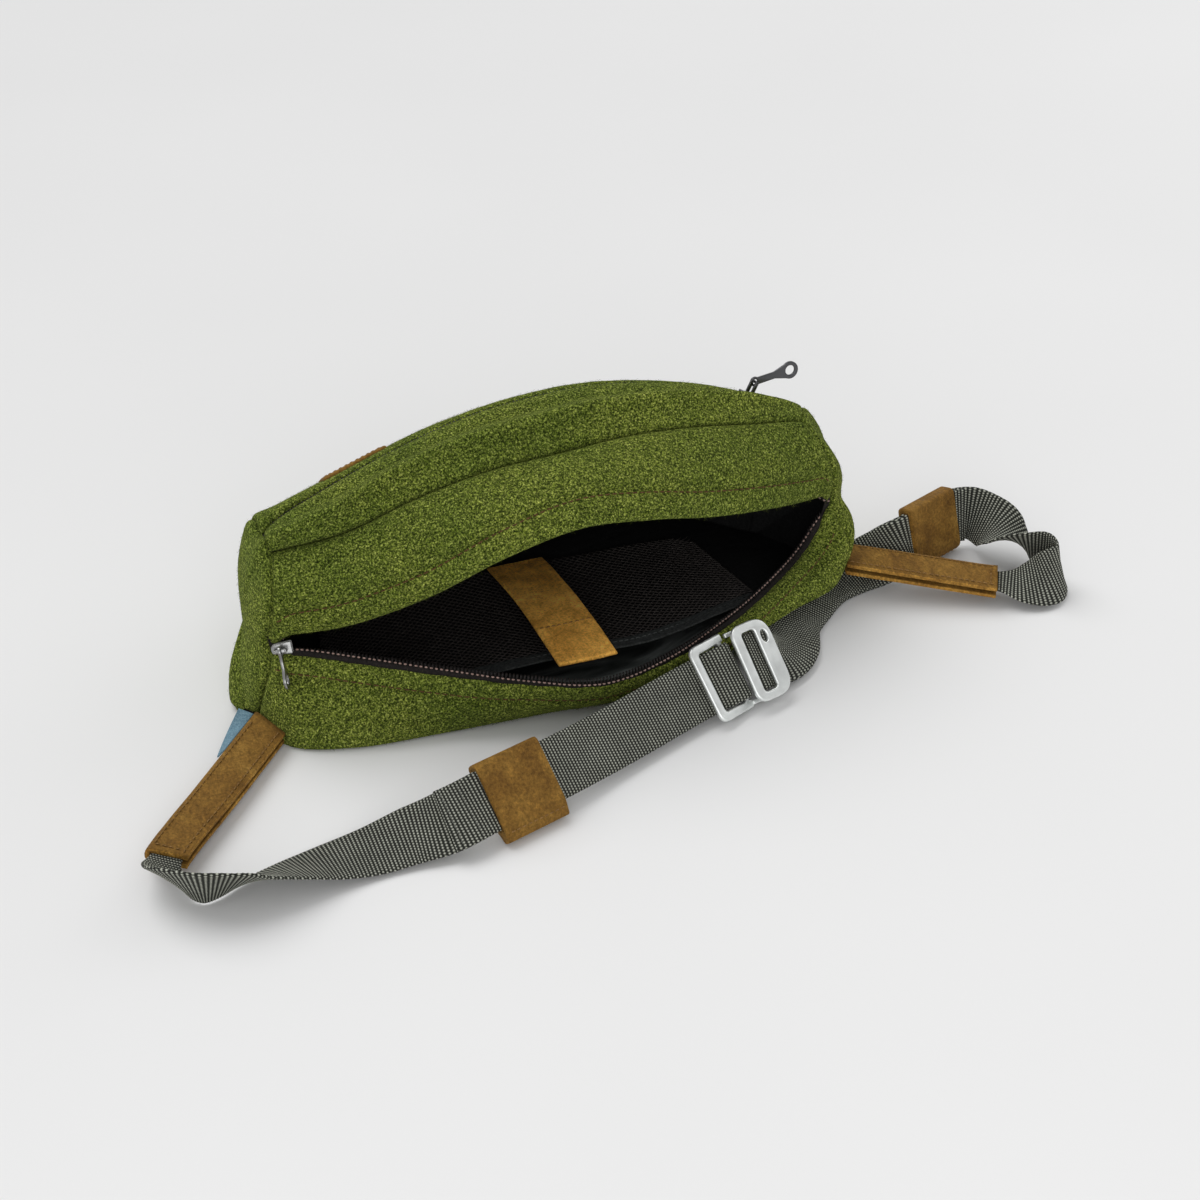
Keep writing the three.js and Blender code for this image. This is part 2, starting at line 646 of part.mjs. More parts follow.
const { cols: netCols, rows: netRows, mouth: netMouth, end: netEnd } = NET_POCKET;
addMesh('mesh_pocket', sheetGeometry(netCols, netRows, netPlace(netMouth, netEnd), NET), 'net');
const bindingPlace = netPlace(BINDING.mouth, netMouth - BINDING.gap);
addMesh('pocket_binding', sheetGeometry(netCols, 1, bindingPlace, NET), 'lining');

function keyStripPlace(s, t) {
  const { wide, nearY, nearZ, farY, farZ, hump } = KEY_STRIP;
  const z = THREE.MathUtils.lerp(nearZ, farZ, t) + hump * Math.sin(Math.PI * t);
  return new THREE.Vector3(wide * (s - 0.5), THREE.MathUtils.lerp(nearY, farY, t), z);
}

addMesh('key_strip', sheetGeometry(1, KEY_STRIP.steps, keyStripPlace, LEATHER), 'leather');

// Belt

function beltFrame(curve, t, roll) {
  const along = curve.getTangent(t);
  const left = new THREE.Vector3().crossVectors(UP, along).normalize();
  const above = new THREE.Vector3().crossVectors(along, left);
  const angle = THREE.MathUtils.degToRad(roll);
  const across = left.multiplyScalar(Math.cos(angle)).addScaledVector(above, Math.sin(angle));
  const normal = new THREE.Vector3().crossVectors(along, across);
  return { at: curve.getPoint(t), along, across, normal };
}

// Frames from the root of a wing to the buckle
function beltFrames(wing, rows) {
  const middle = vec(wing.root).lerp(vec(wing.tip), 0.5).toArray();
  const [rollRoot, rollTip] = wing.rolls;
  const all = [
    { at: wing.root, roll: rollRoot, wide: BELT_SEWN },
    { at: middle, roll: (rollRoot + rollTip) / 2, wide: BELT_SEWN },
    { at: wing.tip, roll: rollTip, wide: BELT_SEWN },
    ...rows,
  ];
  const curve = new THREE.CatmullRomCurve3(all.map((r) => vec(r.at)), false, 'centripetal');
  const rollsAndWidths = all.map((r) => new THREE.Vector3(r.roll, r.wide, 0));
  const turns = new THREE.CatmullRomCurve3(rollsAndWidths, false, 'catmullrom');
  const count = (all.length - 1) * BELT_STEPS;
  const frames = [];
  for (let i = 0; i <= count; i++) {
    const { x: roll, y: wide } = turns.getPoint(i / count);
    frames.push({ ...beltFrame(curve, i / count, roll), wide: Math.min(wide, BELT) });
  }
  frames[count].back = 0;
  for (let i = count - 1; i >= 0; i--) {
    frames[i].back = frames[i + 1].back + frames[i].at.distanceTo(frames[i + 1].at);
  }
  return frames;
}

function beltLoop(at, across, normal, wide) {
  const corners = [[-1, -1], [1, -1], [1, 1], [-1, 1]];
  return corners.map(([a, n]) => at.clone()
    .addScaledVector(across, (a * wide) / 2)
    .addScaledVector(normal, (n * WEBBING) / 2));
}

// Height of the folded-back tail above the belt, at a distance from the fold
function tailLift(back) {
  const near = THREE.MathUtils.smoothstep(back, 0, LAY_RUN);
  return THREE.MathUtils.lerp(2 * HAIRPIN, LAY, near);
}

function beltGeometry(frames, tail) {
  const loops = frames.map((f) => beltLoop(f.at, f.across, f.normal, f.wide));
  const end = frames[frames.length - 1];
  for (let i = 1; i < HAIRPIN_STEPS; i++) {
    const angle = (Math.PI * i) / HAIRPIN_STEPS;
    const normal = end.normal.clone().multiplyScalar(Math.cos(angle));
    normal.addScaledVector(end.along, -Math.sin(angle));
    const at = end.at.clone().addScaledVector(end.normal, HAIRPIN).addScaledVector(normal, -HAIRPIN);
    loops.push(beltLoop(at, end.across, normal, end.wide));
  }
  for (const f of frames.filter((frame) => frame.back <= tail).reverse()) {
    const at = f.at.clone().addScaledVector(f.normal, tailLift(f.back));
    loops.push(beltLoop(at, f.across, f.normal.clone().negate(), f.wide));
  }
  const square = [[-1, -1], [1, -1], [1, 1], [-1, 1]].map((p) => new THREE.Vector2(...p));
  return sweep(loops, square);
}

const leftFrames = beltFrames(WINGS.left, LEFT_BELT);
const rightFrames = beltFrames(WINGS.right, RIGHT_BELT);
addMesh('strap_left', beltGeometry(leftFrames.slice(1), LEFT_TAIL), 'webbing');
addMesh('strap_right', beltGeometry(rightFrames.slice(1), RIGHT_TAIL), 'webbing');

// Wing: a strip of leather folded along one edge, with the belt's end in the fold
function wingGeometry(frames, { fold, skew }) {
  const half = WING.wide / 2;
  const inner = WING.slot / 2;
  const outer = inner + LEATHER;
  const closed = half - LEATHER;
  const profile = [
    [-half, -outer], [half, -outer], [half, outer], [-half, outer],
    [-half, inner], [closed, inner], [closed, -inner], [-half, -inner],
  ].map(([a, n]) => [a * fold, n]);
  const loops = frames.slice(0, WING_ROWS * BELT_STEPS + 1).map(({ at, along, across, normal }, i) => (
    profile.map(([a, n]) => {
      const longer = i === 0 ? skew * (0.5 + (a * fold) / WING.wide) : 0;
      return at.clone().addScaledVector(along, -longer).addScaledVector(across, a).addScaledVector(normal, n);
    })
  ));
  return sweep(loops, profile.map((p) => new THREE.Vector2(...p)));
}

addMesh('wing_left', wingGeometry(leftFrames, WINGS.left), 'leather');
addMesh('wing_right', wingGeometry(rightFrames, WINGS.right), 'leather');

// Bare woven tab along the far edge of the left wing, from the felt outwards
const [tabFrame] = leftFrames;
const tab = new THREE.BoxGeometry(TAB.wide, LABEL, TAB.long);
const tabAt = tabFrame.at.clone()
  .addScaledVector(tabFrame.across, -(WING.wide + TAB.wide) / 2 - CLEAR)
  .addScaledVector(tabFrame.along, TAB.long / 2 - WINGS.left.skew);
addMesh('label_tab', tab, 'label', frameGroup(tabAt, tabFrame.across, tabFrame.normal, tabFrame.along));

// Keeper: leather loop round both layers of the belt, sewn flat along the near edge
function keeperGeometry({ sewn, flange }) {
  const { long, room, corner } = KEEPER;
  const inHalf = BELT / 2 + room;
  const low = -WEBBING / 2 - room;
  const high = LAY + WEBBING / 2 + room;
  const outHalf = inHalf + LEATHER;
  const tip = inHalf + flange;
  const outline = new THREE.Shape();
  outline.moveTo(-outHalf, low - LEATHER + corner);
  outline.lineTo(-outHalf + corner, low - LEATHER);
  outline.lineTo(inHalf, low - LEATHER);
  outline.lineTo(tip, (low + high) / 2 - LEATHER);
  outline.lineTo(tip, (low + high) / 2 + LEATHER);
  outline.lineTo(inHalf, high + LEATHER);
  outline.lineTo(-outHalf + corner, high + LEATHER);
  outline.lineTo(-outHalf, high + LEATHER - corner);
  outline.closePath();
  const inside = new THREE.Path();
  inside.moveTo(-inHalf, low);
  inside.lineTo(-inHalf, high);
  inside.lineTo(inHalf, high);
  inside.lineTo(inHalf, low);
  inside.closePath();
  outline.holes.push(inside);
  const loop = new THREE.ExtrudeGeometry(outline, { depth: long, bevelEnabled: false });
  loop.translate(0, 0, -long / 2);
  if (sewn < 0) {
    loop.rotateZ(Math.PI);
    loop.translate(0, low + high, 0);
  }
  return loop;
}

function addKeeper(name, frames, keeper) {
  const { at, across, normal, along } = frames[(WING_ROWS + 1 + keeper.row) * BELT_STEPS];
  addMesh(name, keeperGeometry(keeper), 'leather', frameGroup(at, across, normal, along));
}

addKeeper('keeper_left', leftFrames, KEEPERS.left);
addKeeper('keeper_right', rightFrames, KEEPERS.right);

// Buckle parts: local x along the belt, y across it, z out of it

function roundedPlate(x0, x1, half, corner) {
  const shape = new THREE.Shape();
  shape.moveTo(x0 + corner, -half);
  shape.lineTo(x1 - corner, -half);
  shape.quadraticCurveTo(x1, -half, x1, -half + corner);
  shape.lineTo(x1, half - corner);
  shape.quadraticCurveTo(x1, half, x1 - corner, half);
  shape.lineTo(x0 + corner, half);
  shape.quadraticCurveTo(x0, half, x0, half - corner);
  shape.lineTo(x0, -half + corner);
  shape.quadraticCurveTo(x0, -half, x0 + corner, -half);
  return shape;
}

function plateGeometry(shape, thick) {
  const { bevel } = HOOK;
  const options = { depth: thick - 2 * bevel, bevelThickness: bevel, bevelSize: bevel, bevelOffset: -bevel };
  const plate = new THREE.ExtrudeGeometry(shape, { ...options, bevelSegments: 1, curveSegments: 3 });
  plate.translate(0, 0, bevel - thick / 2);
  return plate;
}

// Frame on the left belt, tilted so that its outer bar lies on the folded belt
function buckleFrameGeometry() {
  const { half, window, bar, endBar, plate, corner, long } = BUCKLE;
  const outline = roundedPlate(-long, bar / 2, half, corner / 2);
  outline.holes.push(roundedPlate(-long + endBar, -bar / 2, window, WINDOW_CORNER));
  return plateGeometry(outline, plate);
}

// Hook on the right belt: nose towards the frame, window, end plate with a hole, a lower bar,
// and lugs that meet the frame's bar beside the belts
function buckleHookGeometry(frameBar) {
  const { half, window, bar, plate, corner } = BUCKLE;
  const { nose, window: gap, plate: endPlate, lift, hole, holeAcross, lug, lugGap } = HOOK;
  const long = nose + gap + endPlate;
  const outline = roundedPlate(0, long, half, corner);
  outline.holes.push(roundedPlate(nose, nose + gap, window, WINDOW_CORNER));
  const oval = new THREE.Path();
  oval.absellipse(nose + gap + endPlate / 2, holeAcross, hole[1], hole[0], 0, Math.PI * 2, true);
  outline.holes.push(oval);
  const top = plateGeometry(outline, plate);
  top.translate(0, 0, lift);
  const lower = new THREE.BoxGeometry(bar, 2 * half - corner, plate);
  const legs = [-1, 1].map((side) => {
    const leg = new THREE.BoxGeometry(bar, (half - window) / 2, lift);
    leg.translate(nose + bar, side * (half + window) / 2, lift / 2);
    return leg;
  });
  lower.translate(nose + bar, 0, 0);
  const lugFrom = nose + bar - frameBar + bar / 2 + lugGap;
  const lugs = [-1, 1].map((side) => {
    const rod = new THREE.BoxGeometry(nose + bar - lugFrom, (half - window) / 2, lug);
    rod.translate((nose + bar + lugFrom) / 2, side * (half + window) / 2, 0);
    return rod;
  });
  return join([top, lower, ...legs, ...lugs]);
}

const leftEnd = leftFrames[leftFrames.length - 1];
const frameAt = leftEnd.at.clone().addScaledVector(leftEnd.normal, HAIRPIN);
const frameSeat = frameGroup(frameAt, leftEnd.along, leftEnd.across, leftEnd.normal);
const buckleFrame = addMesh('buckle_frame', buckleFrameGeometry(), 'aluminium', frameSeat);
buckleFrame.rotation.y = THREE.MathUtils.degToRad(BUCKLE.tilt);

const rightEnd = rightFrames[rightFrames.length - 1];
const hookAt = rightEnd.at.clone().addScaledVector(rightEnd.normal, HAIRPIN);
const hookX = rightEnd.along.clone().negate();
const hookY = rightEnd.across.clone().negate();
const hookSeat = frameGroup(hookAt, hookX, hookY, rightEnd.normal);
const hookGeometry = buckleHookGeometry(leftEnd.at.distanceTo(rightEnd.at));
const buckleHook = addMesh('buckle_hook', hookGeometry, 'aluminium', hookSeat);
buckleHook.position.x = -HOOK.nose - BUCKLE.bar;

export default bag;
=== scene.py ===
import math

import bmesh
import bpy
import numpy as np
from mathutils import Matrix, Vector


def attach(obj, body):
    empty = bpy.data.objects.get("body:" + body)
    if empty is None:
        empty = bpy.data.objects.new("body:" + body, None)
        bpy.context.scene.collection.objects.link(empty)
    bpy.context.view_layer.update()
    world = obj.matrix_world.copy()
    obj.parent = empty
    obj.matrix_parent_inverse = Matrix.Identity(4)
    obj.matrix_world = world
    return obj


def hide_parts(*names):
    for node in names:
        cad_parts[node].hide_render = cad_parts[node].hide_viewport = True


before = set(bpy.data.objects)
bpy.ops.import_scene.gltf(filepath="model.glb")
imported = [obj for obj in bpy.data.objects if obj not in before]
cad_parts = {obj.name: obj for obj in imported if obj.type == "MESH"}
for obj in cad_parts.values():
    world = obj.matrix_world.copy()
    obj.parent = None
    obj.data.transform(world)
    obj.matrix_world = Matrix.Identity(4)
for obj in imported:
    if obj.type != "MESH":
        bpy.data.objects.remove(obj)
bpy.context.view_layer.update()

MM = 0.001

# The same driving sizes as the solids, in millimetres
FELT = 2.4
LEATHER = 1.9
WEBBING = 1.4
CLEAR = 0.3
COLUMNS = [
    "backY", "backZ", "nearY", "nearZ", "farY", "farZ",
    "ridgeY", "ridgeZ", "crestY", "crestZ", "baseY", "baseZ",
]
SECTIONS = np.array([
    [7, 0, -2, 36.5, 0, 43, 10, 78, 21.5, 82, 58, 20],
    [-17, 0, -5, 38, -2, 44, 10, 78.5, 24.5, 86.5, 68, 21],
    [-27, 0, -15, 35, -8, 47, 10, 81, 31.5, 92, 88, 23],
    [-30, 0, -27, 29, -14, 57, 10, 91, 39, 99, 104, 25],
    [-31, 0, -40, 24.5, -19, 72.5, 10, 98, 41, 107, 113, 26],
    [-32, 0, -46, 19.5, -22, 82, 10, 100, 42, 110.5, 116, 26],
    [-33, 1, -40, 20, -20, 77.5, 10, 102, 42, 110.5, 113, 26],
    [-29, 9, -25, 20.5, -14, 68, 11, 100, 42, 105, 105, 25],
    [-18, 14, -6, 23, -4, 59, 14, 94, 41, 96, 90, 23],
    [-9, 14, 8, 28.5, 7, 51.5, 18, 89, 40, 84, 70, 21],
    [3, 14, 12, 42, 12, 49, 20, 86.5, 40, 78, 60, 20],
], float)
STATIONS = np.array([-1, -0.93, -0.75, -0.5, -0.25, 0, 0.25, 0.5, 0.75, 0.92, 1])
# Seam: y column, z column, reach to the left and right, offsets
SEAMS = {
    "back": ("backY", "backZ", 135, 132, 0, 0),
    "zipNear": ("nearY", "nearZ", 127, 124.5, 0, 0),
    "zipFar": ("farY", "farZ", 128, 126, 0, 0),
    "ridge": ("ridgeY", "ridgeZ", 122, 116, 0, 0),
    "crestNear": ("crestY", "crestZ", 123, 120, -2.8, 0),
    "crestFar": ("crestY", "crestZ", 123, 120, 2.8, -1.2),
    "baseTop": ("baseY", "baseZ", 114, 114, 0, 0),
    "baseBottom": ("baseY", None, 112, 112, 2, 0),
}
# Panel: seams it runs between, rows, outward swell, end swells to the left and right, skew
PANELS = {
    "felt_top_near": ("back", "zipNear", 40, 3, 2, 5.5, 1),
    "felt_top_far": ("zipFar", "ridge", 40, 6, 0, 3.5, 1),
    "felt_front_upper": ("ridge", "crestNear", 36, 4.5, 0, 2, 1),
    "pocket_zip": ("crestNear", "crestFar", 4, 0, 0, 0, 1),
    "felt_front_lower": ("crestFar", "baseTop", 56, 8, 3, 2, 1),
    "felt_base": ("baseTop", "baseBottom", 20, 0, 0, 0, 1),
    "felt_back": ("baseBottom", "back", 64, 0, 13, 0, 2),
}
ZIP_ROWS = PANELS["pocket_zip"][2]
END_SWELL_POWER = 3
SHOULDER = {"panel": "felt_front_lower", "swell": 10.5, "run": 0.3, "fade": 1.9, "skew": 0.45}
# End gussets: swell, shares of their rings, and how soon and how far the rings lose the loop's corners
SIDE_SWELL = {-1: 8, 1: 13}
SIDE_RINGS = np.array([1, 0.985, 0.965, 0.94, 0.9, 0.86, 0.8, 0.72, 0.63, 0.54, 0.45, 0.36, 0.27, 0.18, 0.09])
SIDE_SWELL_POWER = 3
SIDE_BLEND = 0.28
SIDE_SMOOTHINGS = 40
# Fullness round the right end of the mouth
MOUTH_END = np.array([125, 12, 45.0])
MOUTH_END_ROOM = 9
MOUTH_END_SWELL = 3.2
# Rolled seams: depth, width of the bend, and the longest step under panels that meet
SEAM_DEPTH = 2.3
SEAM_ROLL = 4.2
LONGEST_STEP = 1.7
STEP_CUTOFF = 0.15
# Seams that lie flatter or deeper: first row, last row, first column and last column
SEAM_SHARES = {
    "felt_top_near": (0.4, 1, 1.5, 1),
    "felt_top_far": (1, 1.5, 1.5, 1),
    "felt_front_upper": (1.5, 1, 1.5, 0.5),
    "felt_back": (1, 0.4, 1, 1),
    "felt_side_left": (1.4,),
    "felt_side_right": (0.65,),
}
# A point inside the bag, and the lowest levels of outer and inner faces
INSIDE = np.array([0, 30.0, 45.0])
FLOOR_OUT, FLOOR_IN = 0.02, 0.06
# How much of a slab's thickness its rounded edges take
EDGE_THINNING = 0.92
TINY = 1e-9


# Curves and grids

def unit(v):
    return v / np.maximum(np.linalg.norm(v, axis=-1, keepdims=True), TINY)


def smooth(x):
    x = np.clip(x, 0, 1)
    return x * x * (3 - 2 * x)


def catmull(points, t, centripetal=True):
    """Points of a Catmull-Rom curve at t from 0 to 1."""
    p = np.asarray(points, float)
    n = len(p)
    t = np.atleast_1d(np.asarray(t, float))
    reach = np.clip(t, 0, 1) * (n - 1)
    k = np.minimum(reach.astype(int), n - 2)
    w = (reach - k)[:, None]
    ends = np.vstack([2 * p[0] - p[1], p, 2 * p[-1] - p[-2]])
    p0, p1, p2, p3 = (ends[k + i] for i in range(4))
    if centripetal:
        d = [np.maximum(np.linalg.norm(b - a, axis=1), 1e-8)[:, None] ** 0.5
             for a, b in ((p0, p1), (p1, p2), (p2, p3))]
        t1 = ((p1 - p0) / d[0] - (p2 - p0) / (d[0] + d[1]) + (p2 - p1) / d[1]) * d[1]
        t2 = ((p2 - p1) / d[1] - (p3 - p1) / (d[1] + d[2]) + (p3 - p2) / d[2]) * d[1]
    else:
        t1, t2 = (p2 - p0) / 2, (p3 - p1) / 2
    c2 = -3 * p1 + 3 * p2 - 2 * t1 - t2
    c3 = 2 * p1 - 2 * p2 + t1 + t2
    return p1 + t1 * w + c2 * w ** 2 + c3 * w ** 3


def tangent(points, t, step=1e-4):
    a, b = (catmull(points, np.clip(np.asarray(t) + way, 0, 1)) for way in (-step, step))
    return unit(b - a)


def run_along(path):
    """Distance run along a path, at each of its points."""
    return np.concatenate([[0], np.cumsum(np.linalg.norm(np.diff(path, axis=0), axis=1))])


def run_from(points, axis):
    """Distance run along a grid axis, from its first row."""
    steps = np.linalg.norm(np.diff(points, axis=axis), axis=2)
    shape = list(steps.shape)
    shape[axis] = 1
    return np.concatenate([np.zeros(shape), np.cumsum(steps, axis=axis)], axis=axis)


def away_from_edge(grid, from_last):
    """Distance of each point of a grid from its last or first row."""
    rows = run_from(grid, 0)
    return rows[-1][None] - rows if from_last else rows


def between(x, places, values):
    """Rows of values between those at the given places."""
    return np.stack([np.interp(x, places, column) for column in values.T], 1)


def spread(count, span, close=(0.35, 0.8, 1.4, 2.1, 3.0, 4.2)):
    """Shares from 0 to 1, evenly spaced but for rows set close to both ends."""
    near = np.array([0, *close]) / span
    middle = np.linspace(near[-1], 1 - near[-1], max(2, count))
    return np.concatenate([near[:-1], middle, 1 - near[:-1][::-1]])


def grid_normals(grid):
    return unit(np.cross(np.gradient(grid, axis=1), np.gradient(grid, axis=0)))


def soft_waves(points, scale, seed, count=7):
    """Smooth pseudo-random heights, from a few crossed waves."""
    rng = np.random.default_rng(seed)
    total = np.zeros(points.shape[:-1])
    for _ in range(count):
        direction = unit(rng.normal(size=3))
        pitch = scale * rng.uniform(0.6, 1.6)
        total += np.sin(points @ direction * (2 * np.pi / pitch) + rng.uniform(0, 6.28))
    return total / count


# Seams and panels

def seam_rows(name):
    y, z, left, right, dy, dz = SEAMS[name]
    x = np.where(STATIONS < 0, STATIONS * left, STATIONS * right)
    height = np.zeros(len(x)) if z is None else SECTIONS[:, COLUMNS.index(z)] + dz
    return np.stack([x, SECTIONS[:, COLUMNS.index(y)] + dy, height], 1)


def seam(name, t):
    points = catmull(seam_rows(name), t)
    points[:, 2] = np.maximum(points[:, 2], 0)
    near = np.linalg.norm(points - MOUTH_END, axis=1) / MOUTH_END_ROOM
    points[:, 0] += MOUTH_END_SWELL * np.exp(-near ** 2)
    return points


def is_side(name):
    return name.startswith("felt_side")


def shoulder(u, s):
    """Extra fullness of the lower front panel beside the pocket zip at its left end."""
    d = SHOULDER
    fade = np.maximum(0, 1 - u / d["run"]) ** d["fade"]
    return d["swell"] * fade * np.sin(np.pi * s ** d["skew"]) * (1 - s)


def panel_point(name, u, s):
    """Points of a panel at places u along it and one share s across."""
    start, end, _, swell, left, right, skew = PANELS[name]
    a, b = seam(start, u), seam(end, u)
    out = unit(np.stack([np.zeros(len(a)), a[:, 2] - b[:, 2], b[:, 1] - a[:, 1]], 1))
    arch = math.sin(math.pi * s ** skew) if 0 < s < 1 else 0
    extra = shoulder(u, s) if name == SHOULDER["panel"] else np.zeros(len(a))
    point = a * (1 - s) + b * s + out * (swell * arch + extra)[:, None]
    side = 2 * u - 1
    point[:, 0] += np.where(side < 0, -left, right) * arch * np.abs(side) ** END_SWELL_POWER
    return point


COLS_U = spread(count=130, span=250)


def panel_base(name):
    start, end, rows, *_ = PANELS[name]
    width = np.linalg.norm(seam(end, COLS_U) - seam(start, COLS_U), axis=1).mean()
    shares = spread(rows, width) if rows > ZIP_ROWS else np.linspace(0, 1, rows + 1)
    return np.stack([panel_point(name, COLS_U, s) for s in shares])


def panel_normals(grid):
    normals = grid_normals(grid)
    j, i = grid.shape[0] // 2, grid.shape[1] // 2
    return -normals if np.sum(normals[j, i] * (grid[j, i] - INSIDE)) < 0 else normals


def side_base(column, out_x):
    """Rings of an end gusset, from the loop of panel ends to its swollen middle."""
    loop = []
    for name, (_, end, *_) in PANELS.items():
        rows = BASE[name][:, column]
        loop.append(rows if end == "zipNear" else rows[:-1])
    loop = np.concatenate(loop)
    middle = loop.mean(0)
    soft = loop.copy()
    for _ in range(SIDE_SMOOTHINGS):
        soft = soft / 2 + (np.roll(soft, 1, 0) + np.roll(soft, -1, 0)) / 4
    rings = []
    for ring in SIDE_RINGS:
        blend = min(1, (1 - ring) / SIDE_BLEND)
        base = loop * (1 - blend) + soft * blend
        swell = np.array([out_x * SIDE_SWELL[out_x] * (1 - ring ** SIDE_SWELL_POWER), 0, 0])
        rings.append(middle + (base - middle) * ring + swell)
    return np.stack(rings)


def side_normals(rings, out_x):
    around = np.roll(rings, -1, 1) - np.roll(rings, 1, 1)
    normals = unit(np.cross(around, np.gradient(rings, axis=0)))
    return -normals if normals[-1, :, 0].mean() * out_x < 0 else normals


BASE = {name: panel_base(name) for name in PANELS}
NORMALS = {name: panel_normals(grid) for name, grid in BASE.items()}
for name, column, out_x in (("felt_side_left", 0, -1), ("felt_side_right", -1, 1)):
    BASE[name] = side_base(column, out_x)
    NORMALS[name] = side_normals(BASE[name], out_x)


def key_of(point):
    return tuple(np.round(point, 3))


def depth_vector(normals):
    """Step that goes one millimetre in under every panel that meets at a point."""
    n = np.array(normals)
    d = np.linalg.lstsq(n, -np.ones(len(n)), rcond=STEP_CUTOFF)[0]
    return d * min(1, LONGEST_STEP / max(np.linalg.norm(d), 1e-6))


def meeting_depths():
    """Depth vector of each point on the rims of the panels."""
    meeting = {}
    for name, grid in BASE.items():
        rim = np.zeros(grid.shape[:2], bool)
        rim[0] = True
        if not is_side(name):
            rim[-1] = rim[:, 0] = rim[:, -1] = True
        for point, normal in zip(grid[rim], NORMALS[name][rim]):
            meeting.setdefault(key_of(point), []).append(normal)
    return {key: depth_vector(normals) for key, normals in meeting.items()}


DEPTH = meeting_depths()


def rim_depth(points):
    return np.array([DEPTH[key_of(p)] for p in points])


def roll_weight(distance, roll):
    q = np.clip(1 - distance / roll, 0, 1)
    return 1 - np.sqrt(np.maximum(1 - q * q, 0))


def edge_parts(name, roll):
    """Weights and depth vectors of the rims that each point of a panel is near."""
    grid = BASE[name]
    rows = run_from(grid, 0)
    parts = [(roll_weight(rows, roll), rim_depth(grid[0])[None])]
    if is_side(name):
        return parts
    cols = run_from(grid, 1)
    parts.append((roll_weight(rows[-1][None] - rows, roll), rim_depth(grid[-1])[None]))
    parts.append((roll_weight(cols, roll), rim_depth(grid[:, 0])[:, None]))
    parts.append((roll_weight(cols[:, -1][:, None] - cols, roll), rim_depth(grid[:, -1])[:, None]))
    return parts


def union_of(parts):
    return 1 - np.prod([1 - w for w, _ in parts], axis=0)


def edge_shift(name, roll, least=None):
    """Shift into the seams, scaled by the share of each seam, or by least where that is more."""
    parts = edge_parts(name, roll)
    if least is not None and name in SEAM_SHARES:
        parts = [(w, d * max(k, least)) for (w, d), k in zip(parts, SEAM_SHARES[name])]
    total = sum(w for w, _ in parts)
    mixed = sum(w[..., None] * d for w, d in parts)
    return mixed * (union_of(parts) / np.maximum(total, TINY))[..., None]


# Meshes

def new_object(name, verts, faces, material, smooth=True, uv=None):
    mesh = bpy.data.meshes.new(name)
    mesh.from_pydata([tuple(v) for v in np.asarray(verts) * MM], [], [tuple(f) for f in faces])
    if uv is not None:
        layer = mesh.uv_layers.new(name="UVMap")
        index = np.zeros(len(mesh.loops), np.int32)
        mesh.loops.foreach_get("vertex_index", index)
        layer.data.foreach_set("uv", np.asarray(uv, np.float32)[index].ravel())
    mesh.validate()
    mesh.update()
    obj = bpy.data.objects.new(name, mesh)
    bpy.context.scene.collection.objects.link(obj)
    mesh.materials.append(material)
    mesh.polygons.foreach_set("use_smooth", [smooth] * len(mesh.polygons))
    return obj


def solid(name, verts, faces, material, uv=None):
    """Object of closed shapes, with its faces turned outwards."""
    obj = new_object(name, verts, faces, material, uv=uv)
    bm = bmesh.new()
    bm.from_mesh(obj.data)
    bmesh.ops.recalc_face_normals(bm, faces=bm.faces[:])
    bm.to_mesh(obj.data)
    bm.free()
    return obj


def grid_faces(rows, cols, start=0, wrap=False):
    faces = []
    for j in range(rows - 1):
        for i in range(cols if wrap else cols - 1):
            k = (i + 1) % cols
            faces.append((start + j * cols + i, start + j * cols + k,
                          start + (j + 1) * cols + k, start + (j + 1) * cols + i))
    return faces


def tube_faces(rows, cols, start=0):
    """Faces of a tube of rings, with both ends capped."""
    last = start + (rows - 1) * cols
    caps = [tuple(range(start, start + cols))[::-1], tuple(range(last, last + cols))]
    return grid_faces(rows, cols, start, True) + caps


def tube_mesh(paths, radius, sides=6):
    """Closed tubes along paths, an array of tubes by points by 3. Radius may vary by point."""
    paths = np.asarray(paths, float)
    count, length = paths.shape[:2]
    along = unit(np.gradient(paths, axis=1))
    steep = np.abs(along[..., 2:]) >= 0.9
    right = unit(np.cross(along, np.where(steep, np.array([1.0, 0, 0]), np.array([0, 0, 1.0]))))
    up = np.cross(right, along)
    angle = np.linspace(0, 2 * np.pi, sides, endpoint=False)[:, None]
    r = np.broadcast_to(np.asarray(radius, float), (length,))[None, :, None, None]
    ring = right[:, :, None] * np.cos(angle) + up[:, :, None] * np.sin(angle)
    verts = (paths[:, :, None] + ring * r).reshape(-1, 3)
    faces = [face for k in range(count) for face in tube_faces(length, sides, k * length * sides)]
    return verts, faces


